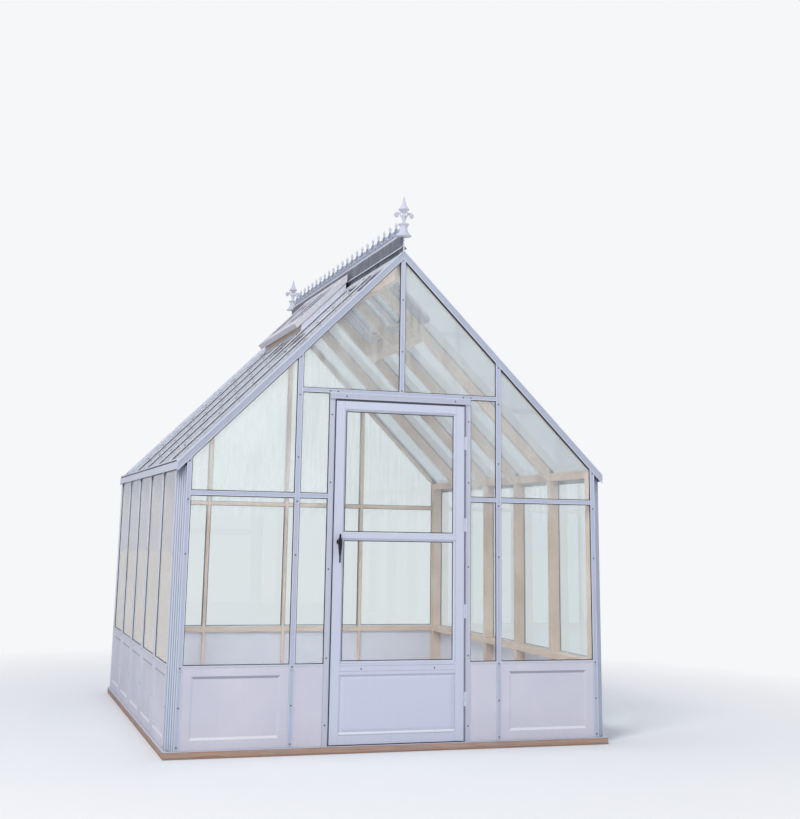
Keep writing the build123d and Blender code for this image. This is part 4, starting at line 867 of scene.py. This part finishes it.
def finished(name, shape, finish, body="house", smooth=False):
    """Turns a bmesh into a piece with its finish."""
    mesh = outwards(shape, bpy.data.meshes.new(name))
    for face in mesh.polygons:
        face.use_smooth = smooth
    return placed(name, mesh, finish, body)


# Depths of small pieces behind the cap strips' face, outer and inner
CLOSER_DEPTHS = (0.0105, 0.0155)
DOOR_SEAL_DEPTHS = (0.0165, 0.018)
FOOT_LIP_DEPTHS = (0.0062, 0.0098)
SCORE_DEPTHS = (0.0018, 0.0021)

# Rubber gaskets: a thin black line round each pane, just clear of the cap strips
GASKET_SHOW = 0.0045
GASKET_DEPTH = 0.0025
RAKE_COVER = 0.039
SIDE_HEAD = 1.557


def sides_of(strips):
    """The clear widths between neighbouring strips, each a centre and half width."""
    return [(a[0] + a[1], b[0] - b[1]) for a, b in zip(strips, strips[1:])]


def gable_bays(*middle):
    """The clear widths of a gable's bays, with its strips between the two mullions."""
    outer = [(CORNER_X, HALF_CORNER), (MULLION_X, HALF_STRIP)]
    return sides_of([(-x, half) for x, half in outer] + list(middle) + outer[::-1])


def pane_seal(wall, bay, low, high=None, width=GASKET_SHOW):
    """A gasket round one pane, up to a bar or, without an upper height, up to the rake."""
    u0, u1 = bay
    tops = [high or roof_height(u, RAKE_COVER) for u in bay]
    outline = [(u0, low), (u1, low), (u1, tops[1]), (u0, tops[0])]
    ring(shape, wall, outline, width, PANE - GASKET_DEPTH, PANE)


LEFT_BAY, BY_DOOR_LEFT, _, BY_DOOR_RIGHT, RIGHT_BAY = gable_bays(
    (-JAMB_CENTRE, HALF_JAMB), (JAMB_CENTRE, HALF_JAMB),
)
shape = bmesh.new()
for wall in ("front", "rear"):
    for bay in (LEFT_BAY, RIGHT_BAY):
        pane_seal(wall, bay, SILL, MID_BAR[0])
        pane_seal(wall, bay, MID_BAR[1])
for bay in (BY_DOOR_LEFT, BY_DOOR_RIGHT):
    pane_seal("front", bay, SILL, MID_BAR[0])
    pane_seal("front", bay, MID_BAR[1], HEAD_BAR[0])
for bay in gable_bays((0.0, HALF_CORNER))[1:3]:
    pane_seal("front", bay, HEAD_BAR[1])
    pane_seal("rear", bay, SILL, MID_BAR[0])
    pane_seal("rear", bay, MID_BAR[1])
side_strips = [(y, HALF_CORNER if y in strip_ends else HALF_STRIP) for y in sorted([*strip_ends, *BARS])]
SIDE_BAYS = [
    (wall, sorted((turn * y0, turn * y1)))
    for wall, turn in (("left", -1), ("right", 1)) for y0, y1 in sides_of(side_strips)
]
for wall, bay in SIDE_BAYS:
    pane_seal(wall, bay, SILL, SIDE_HEAD, GASKET_SHOW / 2)
finished("pane_gaskets", shape, GASKET)

# Roof: a black wedge gasket low on both sides of each bar, whose black also stands in for the shade on the
# bars' sides (painted shade), and the white upstand that closes the gap between each rake's flange and the
# glass
ROOF_PANE = 0.014
SLACK = 0.0002
BAR_HIGH_X = 0.030
BAR_LOW_X = 1.285


def slope_bar(shape, side, x0, x1, y0, y1, over, under):
    """A bar down one slope, between two depths below the roof's outer plane."""
    corners = ((x0, y0), (x0, y1), (x1, y1), (x1, y0))
    near, far = ([(side * x, y, roof_height(x, deep)) for x, y in corners] for deep in (under, over))
    closed(shape, near, far)


shape = bmesh.new()
upstands = bmesh.new()
for side, vented in VENT_BAYS:
    for k, y in enumerate(BARS):
        for turn, bay in ((-1, k), (1, k + 1)):
            x0 = VENT_FOOT if bay in vented else BAR_HIGH_X
            edges = sorted(y + turn * (HALF_STRIP + off) for off in (SLACK, SLACK + 0.0022))
            slope_bar(shape, side, x0, BAR_LOW_X, *edges, ROOF_PANE - SLACK - 0.003, ROOF_PANE - SLACK)
    for y0, y1 in ((FRONT + 0.0435, FRONT + 0.0460), (REAR - 0.0460, REAR - 0.0435)):
        slope_bar(upstands, side, BAR_HIGH_X, BAR_LOW_X, y0, y1, 0.0041, ROOF_PANE - SLACK)
finished("roof_gaskets", shape, GASKET)
finished("rake_upstands", upstands, WHITE)

# Dark foam closer in the wedge between each corner cover's top and the rake; its black also stands in for the
# shade under the rake's end (painted shade)
COVER_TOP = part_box("corner_covers")[1].z
COVER_EDGE = CORNER_X + HALF_CORNER + SLACK
WEDGE = (
    (COVER_EDGE, COVER_TOP), (APEX - RAKE_COVER * math.sqrt(2) - COVER_TOP, COVER_TOP),
    (COVER_EDGE, roof_height(COVER_EDGE, RAKE_COVER)),
)
shape = bmesh.new()
for wall in ("front", "rear"):
    for turn in (-1, 1):
        prism(shape, wall, [(turn * u, z) for u, z in WEDGE], *CLOSER_DEPTHS)
finished("corner_closers", shape, GASKET)

# Dark seal round the two panes of each vent's sash
VENT_PANE = -0.060
SASH_RAIL = 0.038
SASH_X = (0.0275, 0.379)
SEAL_OFF = (0.0005, 0.0045)
x0, x1 = SASH_X[0] + SASH_RAIL + 0.002, SASH_X[1] - SASH_RAIL - 0.002
shape = bmesh.new()
for side, vented in VENT_BAYS:
    rails = [FRONT + END_MARGIN + BAY * (vented[0] + k) for k in range(3)]
    y_first = rails[0] - HALF_STRIP + SASH_RAIL
    y_last = rails[2] + HALF_STRIP - SASH_RAIL
    middle = (rails[1] - SASH_RAIL / 2, rails[1] + SASH_RAIL / 2)
    for y0, y1 in ((y_first, middle[0]), (middle[1], y_last)):
        for edges in ([y0 + off for off in SEAL_OFF], [y1 - off for off in reversed(SEAL_OFF)]):
            slope_bar(shape, side, x0, x1, *edges, VENT_PANE - 0.0012, VENT_PANE)
finished("vent_pane_seals", shape, GASKET)

# Door gasket: a black line between each bead and its pane
HALF_LEAF = 0.4075
BEAD = 0.0124
BEAD_EDGE = HALF_LEAF - 0.0544 - BEAD
DOOR_LIGHTS = ((0.485, 1.186), (1.211, 1.938))
shape = bmesh.new()
for z0, z1 in DOOR_LIGHTS:
    z0, z1 = z0 + BEAD, z1 - BEAD
    ring(shape, "front", oblong(-BEAD_EDGE, BEAD_EDGE, z0, z1), 0.0042, *DOOR_SEAL_DEPTHS)
finished("door_pane_gaskets", shape, GASKET, "door")


# A thin lip along the foot of the wall panes, in a brighter coat: painted highlight
FOOT_LIP = 0.009
shape = bmesh.new()
feet = [("front", bay) for bay in (LEFT_BAY, BY_DOOR_LEFT, BY_DOOR_RIGHT, RIGHT_BAY)]
feet += [("rear", bay) for bay in gable_bays((0.0, HALF_STRIP))] + SIDE_BAYS
for wall, (u0, u1) in feet:
    prism(shape, wall, oblong(u0, u1, SILL - FOOT_LIP, SILL), *FOOT_LIP_DEPTHS)
finished("pane_foot_lips", shape, LIP_PAINTED_HIGHLIGHT)

# Black strips: painted shade in each eave's groove, and the door's seals, whose black also stands in for the
# shade in the gaps round the leaf
shape = bmesh.new()
EAVE_GROOVE = (1.6002, 1.6058)
EAVE_END = 0.047
for side in (-1, 1):
    outer_x, inner_x = (side * (HALF_WIDTH + out) for out in (0.0094, 0.0041))
    low, high = EAVE_GROOVE
    box_piece(shape, (outer_x, FRONT + EAVE_END, low), (inner_x, REAR - EAVE_END, high))
finished("eave_seals", shape, GASKET)


def upright_strip(u0, u1, z0, z1, outer, inner):
    """A straight strip on the front wall."""
    prism(shape, "front", oblong(u0, u1, z0, z1), outer, inner)


STOP_FACE = 0.043
BRUSH = 0.0015
shape = bmesh.new()
# Black brush seals on the stops, which also darken the gaps beside the leaf as painted shade
for u0, u1 in ((-0.412, -0.399), (0.399, 0.412)):
    upright_strip(u0, u1, 0.045, 1.990, STOP_FACE - BRUSH, STOP_FACE)
upright_strip(-0.398, 0.398, 1.977, 1.990, STOP_FACE - BRUSH, STOP_FACE)
# A dark strip under the header's drip lip: painted shade
upright_strip(-0.4118, 0.4118, 1.9914, 1.9968, -0.0004, 0.0)
# Black seals in the gaps beside the leaf and a black strip under its foot, whose black stands in for the
# shade in these gaps (painted shade)
for u0, u1 in ((-0.4165, -0.4126), (0.4126, 0.4150)):
    upright_strip(u0, u1, 0.0415, 1.9905, -0.0023, 0.004)
box_piece(shape, (-HALF_LEAF, FRONT + 0.003, 0.0411), (HALF_LEAF, FRONT + 0.042, 0.0416))
finished("door_seals", shape, GASKET)


# Sloped ledge at the foot of the door's panel in the brighter lip coat (painted highlight), and the score
# lines of the lock rail as dark strips (painted shade)
HALF_PANEL = 0.3525
LEDGE = ((0.1016, 0.0024), (0.1016, 0.0098), (0.1120, 0.0098))
SCORES = (0.4715, 0.4420, 0.0965)
SCORE_WIDTH = 0.0016
shape = bmesh.new()
near, far = ([on_wall("front", u, z, deep) for z, deep in LEDGE] for u in (-HALF_PANEL, HALF_PANEL))
closed(shape, near, far)
finished("panel_ledge", shape, LIP_PAINTED_HIGHLIGHT, "door")
shape = bmesh.new()
for z in SCORES:
    upright_strip(-HALF_PANEL, HALF_PANEL, z, z + SCORE_WIDTH, *SCORE_DEPTHS)
finished("rail_score_lines", shape, CAST_SHADE, "door")


# Cast ornament of the ridge. Everything is drawn in a plane, across and up, and swept round
def spiral(centre, start, radius, end_radius, turns, steps):
    """Points of a spiral about a centre, from a start angle in turns."""
    points = []
    for k in range(steps + 1):
        share = k / steps
        reach_now = radius + (end_radius - radius) * share
        angle = 2 * math.pi * (start + turns * share)
        points.append((centre[0] + reach_now * math.cos(angle), centre[1] + reach_now * math.sin(angle)))
    return points


def eased_between(p, q, r, s, t):
    """A share of the way from q to r, on a smooth curve that comes from p and goes on to s."""
    rise = (r - p) * t + (2 * p - 5 * q + 4 * r - s) * t * t + (3 * q - p - 3 * r + s) * t ** 3
    return 0.5 * (2 * q + rise)


def smooth_line(points, steps=3):
    """A rounded line through points."""
    ends = [points[0]] + list(points) + [points[-1]]
    line = []
    for four in zip(ends, ends[1:], ends[2:], ends[3:]):
        for k in range(steps):
            line.append(tuple(eased_between(*axis, k / steps) for axis in zip(*four)))
    line.append(tuple(points[-1]))
    return line


def capped(shape, rings):
    """Joins rings of vertices into one closed skin."""
    for first, second in zip(rings, rings[1:]):
        skinned(shape, first, second)
    shape.faces.new(list(reversed(rings[0])))
    shape.faces.new(rings[-1])


def rod(shape, points, radii, place, sides):
    """Sweeps a round bar along a flat line. place turns across, up and depth into a point."""
    rings = []
    count = len(points)
    for i, (u, v) in enumerate(points):
        before = points[max(i - 1, 0)]
        after = points[min(i + 1, count - 1)]
        run = Vector((after[0] - before[0], after[1] - before[1])).normalized()
        share = i / (count - 1)
        radius = radii[0] + (radii[1] - radii[0]) * share
        ring_now = []
        for k in range(sides):
            angle = 2 * math.pi * k / sides
            off = radius * math.cos(angle)
            spot = place(u - run.y * off, v + run.x * off, radius * math.sin(angle))
            ring_now.append(shape.verts.new(spot))
        rings.append(ring_now)
    capped(shape, rings)


def plate(name, loops, thickness, rounding):
    """A flat plate with rounded edges from closed loops; a loop inside another is a hole."""
    curve = bpy.data.curves.new(name, "CURVE")
    curve.dimensions = "2D"
    curve.fill_mode = "BOTH"
    curve.extrude = thickness / 2 - rounding
    curve.bevel_depth = rounding
    curve.bevel_resolution = 1
    curve.offset = -rounding
    for loop in loops:
        spline = curve.splines.new("POLY")
        spline.points.add(len(loop) - 1)
        for point, (u, v) in zip(spline.points, loop):
            point.co = (u, v, 0, 1)
        spline.use_cyclic_u = True
    return as_mesh(linked(name, curve))


PITCH = 0.1243
UNITS = 22
HALF_PITCH = PITCH / 2


def both_sides(half):
    """A closed loop from its right half, mirrored about the centre line."""
    return half + [(-u, v) for u, v in reversed(half) if abs(u) > 1e-6]


def mirrored_rods(shape, lines, place):
    """Round bars along lines and their mirror images, each with its end radii and its sides."""
    for side in (-1, 1):
        for line, radii, sides in lines:
            rod(shape, [(side * u, v) for u, v in line], radii, place, sides)


EYE = (0.0235, 0.0245)
NICK = (0.0395, 0.0170)
LOBE_TIP = (0.0370, 0.0440, 0.0520)
BULB = ((0.0600, 0.0056), (0.0700, 0.0078), (0.0790, 0.0100), (0.0880, 0.0084), (0.0990, 0.0024))
PLATE = 0.0055
PLATE_EDGE = 0.0012
RELIEF = 0.85


def crest_unit():
    """One unit of the cresting: a pierced bell with scrolls, a leaf and a bulbed spike."""
    bell = smooth_line([
        (0.0475, 0.0180), (0.0468, 0.0250), (0.0440, 0.0360), (0.0370, 0.0460), (0.0250, 0.0540),
        (0.0140, 0.0600), (0.0070, 0.0670), (0.0058, 0.0730), (0.0070, 0.0800), (0.0062, 0.0900),
        (0.0, 0.1000),
    ])
    foot = smooth_line([(HALF_PITCH, 0.0400), (0.0585, 0.0360), (0.0530, 0.0250), (0.0475, 0.0180)])
    loops = [
        both_sides([(HALF_PITCH, 0.0)] + foot[:-1] + bell),
        both_sides([(0.0, 0.0130), (0.0050, 0.0220), (0.0058, 0.0290), (0.0, 0.0400)]),
    ]
    for (u, v), radius, sides in ((EYE, 0.0080, 12), (NICK, 0.0030, 8)):
        loops += [spiral((side * u, v), 0.0, radius, radius, 1.0 - 1 / sides, sides - 1) for side in (-1, 1)]
    mesh = plate("crest_unit", loops, PLATE, PLATE_EDGE)
    mesh.transform(Matrix(((0, 0, 1), (1, 0, 0), (0, 1, 0))).to_4x4())
    shape = bmesh.new()

    def in_plane(u, v, deep):
        return Vector((deep, u, v))

    def in_relief(u, v, deep):
        return Vector((deep * RELIEF, u, v))

    shoulder = smooth_line([
        (0.0445, 0.0180), (0.0435, 0.0260), (0.0400, 0.0370), (0.0290, 0.0470), (0.0160, 0.0550),
        (0.0050, 0.0660),
    ])
    leaf = smooth_line([(0.0, 0.0450), (0.0075, 0.0330), (0.0085, 0.0230), (0.0, 0.0120)])
    arch = smooth_line([(0.0475, 0.0160), (0.0530, 0.0240), (0.0585, 0.0340), (HALF_PITCH, LOBE_TIP[0])])
    mirrored_rods(shape, (
        (spiral(EYE, -0.25, 0.0125, 0.0055, 1.35, 18), (0.0036, 0.0026), 6),
        (shoulder, (0.0040, 0.0036), 6),
        (leaf, (0.0028, 0.0034), 6),
        (arch, (0.0034, 0.0034), 6),
    ), in_relief)
    mirrored_rods(shape, (([(HALF_PITCH, v) for v in LOBE_TIP], (0.0060, 0.0020), 6),), in_plane)
    for (low, first), (high, last) in zip(BULB, BULB[1:]):
        rod(shape, [(0.0, low), (0.0, high)], (first, last), in_plane, 8)
    return mesh, outwards(shape, bpy.data.meshes.new("crest_scrolls"))


def unit_tree(unit):
    """A Geometry Nodes tree that puts a finished unit on every mark."""
    tree, given, result = new_tree("units_on_marks", (
        ("Unit", "NodeSocketObject", unit),
        ("Unit size", "NodeSocketFloat", 1.0),
        ("Finish", "NodeSocketMaterial", None),
    ))
    source = add(tree, "GeometryNodeObjectInfo", {"Object": given["Unit"]})
    spots = add(tree, "GeometryNodeInstanceOnPoints", {
        "Points": given["Geometry"], "Instance": source.outputs["Geometry"], "Scale": given["Unit size"],
    })
    return made_real(tree, spots, given, result)


crest_spots = [(0.0, (k - (UNITS - 1) / 2) * PITCH, RIDGE_TOP) for k in range(UNITS)]
CREST_END = UNITS * HALF_PITCH
BAND = ((0.0, 0.0025, 0.0055), (0.0025, 0.0045, 0.0042))
# The plate takes the darker coat: painted shade behind the scrolls
for unit_mesh, unit_name, finish in zip(
    crest_unit(), ("ridge_cresting_plate", "ridge_cresting_scrolls"), (CAST_SHADE, CAST_WHITE),
):
    unit_object = linked(unit_name + "_unit", unit_mesh)
    marks = bpy.data.meshes.new(unit_name + "_marks")
    marks.from_pydata(crest_spots, [], [])
    inputs = {"Finish": finish, "Unit": unit_object}
    repeated = grown(unit_name + "_marks", unit_tree(unit_object), marks, inputs)
    bpy.data.objects.remove(unit_object)
    if finish == CAST_WHITE:
        shape = bmesh.new()
        shape.from_mesh(repeated)
        for low, high, half in BAND:
            box_piece(shape, (-half, -CREST_END, RIDGE_TOP + low), (half, CREST_END, RIDGE_TOP + high))
        outwards(shape, repeated)
    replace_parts(placed(unit_name, repeated, finish), "ridge_cresting")


def turned(shape, profile, place, steps, ribs, rib_depth, rib_span):
    """Revolves a profile of radius and height about an upright axis, with ribs over part of it."""
    rings = []
    for radius, height in profile:
        ring_now = []
        inside = rib_span[0] < height < rib_span[1]
        for k in range(steps):
            angle = 2 * math.pi * k / steps
            share = 1 + (rib_depth * math.cos(ribs * angle) if inside else 0.0)
            ring_now.append(shape.verts.new(place + Vector((
                radius * share * math.cos(angle), radius * share * math.sin(angle), height,
            ))))
        rings.append(ring_now)
    capped(shape, rings)


def finial(shape, y):
    """A cast finial: ribbed bell with a curled skirt, collar, cup, spear and two volutes."""
    foot = Vector((0, y, RIDGE_TOP))
    bell = smooth_line([
        (0.0495, -0.0230), (0.0495, -0.0195), (0.0452, -0.0150), (0.0360, -0.0070), (0.0300, 0.0030),
        (0.0250, 0.0150), (0.0222, 0.0270), (0.0228, 0.0370), (0.0275, 0.0460), (0.0345, 0.0510),
        (0.0350, 0.0555),
    ])
    stem = smooth_line([
        (0.0350, 0.0555), (0.0180, 0.0600), (0.0105, 0.0700), (0.0090, 0.0850), (0.0100, 0.1000),
        (0.0135, 0.1060), (0.0135, 0.1110), (0.0095, 0.1170), (0.0100, 0.1290), (0.0180, 0.1390),
        (0.0300, 0.1450),
    ])
    spear = smooth_line([
        (0.0300, 0.1450), (0.0340, 0.1475), (0.0340, 0.1510), (0.0275, 0.1570), (0.0205, 0.1680),
        (0.0140, 0.1830), (0.0090, 0.2010), (0.0055, 0.2180), (0.0020, 0.2340), (0.0004, 0.2405),
    ])
    turned(shape, bell, foot, 48, 8, 0.06, (-0.012, 0.046))
    turned(shape, stem, foot, 32, 8, 0.08, (0.118, 0.144))
    turned(shape, spear, foot, 32, 6, 0.05, (0.155, 0.215))

    def across_ridge(u, v, deep):
        return foot + Vector((u, deep, v))

    rise = smooth_line([
        (0.0060, 0.0830), (0.0150, 0.1010), (0.0260, 0.1180), (0.0380, 0.1250), (0.0480, 0.1240),
    ])
    leaf = smooth_line([(0.0080, 0.1290), (0.0200, 0.1310), (0.0300, 0.1260), (0.0360, 0.1140)])
    u, v = VOLUTE
    mirrored_rods(shape, (
        (rise, (0.0048, 0.0066), 8),
        (spiral(VOLUTE, 0.25, 0.0140, 0.0040, -1.3, 20), (0.0066, 0.0036), 8),
        ([(u - VOLUTE_EYE, v), (u + VOLUTE_EYE, v)], (0.0046, 0.0046), 8),
        (leaf, (0.0040, 0.0020), 6),
    ), across_ridge)


VOLUTE = (0.0480, 0.1100)
VOLUTE_EYE = 0.0032
FINIAL_INSET = 0.010
shape = bmesh.new()
for y in (FRONT + FINIAL_INSET, REAR - FINIAL_INSET):
    finial(shape, y)
finials = finished("ridge_finials_cast", shape, CAST_WHITE, smooth=True)
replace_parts(finials, "ridge_finials")


# The camera stands low and to the left of the gable, with the photo's own framing
def look(yaw, pitch, roll):
    """The camera's turn from its heading, its upward tilt and its roll."""
    forward = Vector((math.sin(yaw) * math.cos(pitch), math.cos(yaw) * math.cos(pitch), math.sin(pitch)))
    right = Vector((math.cos(yaw), -math.sin(yaw), 0))
    up = right.cross(forward)
    rolled_right = right * math.cos(roll) + up * math.sin(roll)
    rolled_up = up * math.cos(roll) - right * math.sin(roll)
    return Matrix((rolled_right, rolled_up, -forward)).transposed()


SENSOR = 36.0
FOCAL_PIXELS = 1258.0
IMAGE = (800, 819)
CENTRE_PIXEL = (381.67, 257.06)
EYE_PLACE = (-2.418, FRONT - 7.233, 1.229)
YAW, PITCH_UP, ROLL = 0.3046, 0.2146, 0.0174
camera_data = bpy.data.cameras.new("camera")
camera_data.sensor_fit = "HORIZONTAL"
camera_data.sensor_width = SENSOR
camera_data.lens = FOCAL_PIXELS / IMAGE[0] * SENSOR
camera_data.shift_x = (IMAGE[0] / 2 - CENTRE_PIXEL[0]) / IMAGE[0]
camera_data.shift_y = (CENTRE_PIXEL[1] - IMAGE[1] / 2) / IMAGE[0]
camera_data.clip_end = 200.0
camera = linked("camera", camera_data)
camera.matrix_world = Matrix.Translation(EYE_PLACE) @ look(YAW, PITCH_UP, ROLL).to_4x4()
bpy.context.scene.camera = camera

# Pale floor that fades into the plain surround, and soft light
BACKDROP = "F6F7F9"
MIRRORED = 0.68
FLOOR_REACH = 60.0
FADE = (1.9, 5.2)
floor_mesh = bpy.data.meshes.new("floor")
edges = (-FLOOR_REACH, FLOOR_REACH)
floor_mesh.from_pydata([(x, y, 0) for y in edges for x in edges], [], [(0, 1, 3, 2)])
floor = linked("floor", floor_mesh)
material, tree, output, place = new_finish("pale_floor")
grain = stretched_noise(tree, place, (3, 3, 3), 2.0)
lit = add(tree, "ShaderNodeBsdfPrincipled", {
    "Base Color": add(tree, "ShaderNodeMix", {
        0: grain, 6: colour("F7F8FA"), 7: colour("FAFAFC"),
    }, data_type="RGBA").outputs[2],
    "Roughness": 0.9,
})
paths = add(tree, "ShaderNodeLightPath").outputs
reflected = add(tree, "ShaderNodeMath", {
    0: paths["Is Glossy Ray"], 1: paths["Is Transmission Ray"],
}, operation="SUBTRACT")
far_white = add(tree, "ShaderNodeEmission", {
    "Color": colour(BACKDROP),
    "Strength": add(tree, "ShaderNodeMix", {0: reflected, 2: 1.0, 3: MIRRORED}),
})
away = add(tree, "ShaderNodeVectorMath", {0: place}, operation="LENGTH").outputs["Value"]
faded = add(tree, "ShaderNodeMath", {
    0: add(tree, "ShaderNodeMapRange", {"Value": away, "From Min": FADE[0], "From Max": FADE[1]}), 1: 0.8,
}, operation="POWER")
tree.links.new(
    add(tree, "ShaderNodeMixShader", {0: faded, 1: lit, 2: far_white}).outputs[0], output.inputs[0],
)
floor_mesh.materials.append(material)

world = bpy.data.worlds.new("surround")
bpy.context.scene.world = world
world.use_nodes = True
tree = world.node_tree
tree.nodes.clear()
paths = add(tree, "ShaderNodeLightPath").outputs
seen = add(tree, "ShaderNodeMath", {
    0: paths["Is Camera Ray"], 1: paths["Is Transmission Ray"],
}, operation="MAXIMUM")
light = add(tree, "ShaderNodeBackground", {
    "Color": colour("E6ECFF"),
    "Strength": add(tree, "ShaderNodeMix", {0: paths["Is Glossy Ray"], 2: 0.3, 3: MIRRORED}),
})
backdrop = add(tree, "ShaderNodeBackground", {"Color": colour(BACKDROP), "Strength": 1.0})
surround = add(tree, "ShaderNodeOutputWorld")
tree.links.new(
    add(tree, "ShaderNodeMixShader", {0: seen, 1: light, 2: backdrop}).outputs[0], surround.inputs[0],
)


def lamp(name, place, target, size, power, tint, shown_in_glass=True):
    """A soft square lamp that looks at a point. One left out of glossy rays leaves no glare on the panes."""
    data = bpy.data.lights.new(name, "AREA")
    data.size = size
    data.energy = power
    data.color = colour(tint)[:3]
    holder = linked(name, data)
    holder.location = place
    holder.rotation_euler = (Vector(target) - Vector(place)).to_track_quat("-Z", "Y").to_euler()
    holder.visible_glossy = shown_in_glass


lamp("key_lamp", (-6.0, -8.0, 10.0), (0, -0.5, 1.2), 3.0, 900, "FFFEFB", False)
lamp("fill_lamp", (8.0, -8.0, 4.0), (0, 0, 1.3), 6.0, 110, "F2F6FF")
lamp("sky_lamp", (0.0, 2.0, 10.0), (0, 0, 1.0), 8.0, 260, "F4F8FF", False)

bpy.context.scene.view_settings.view_transform = "Standard"
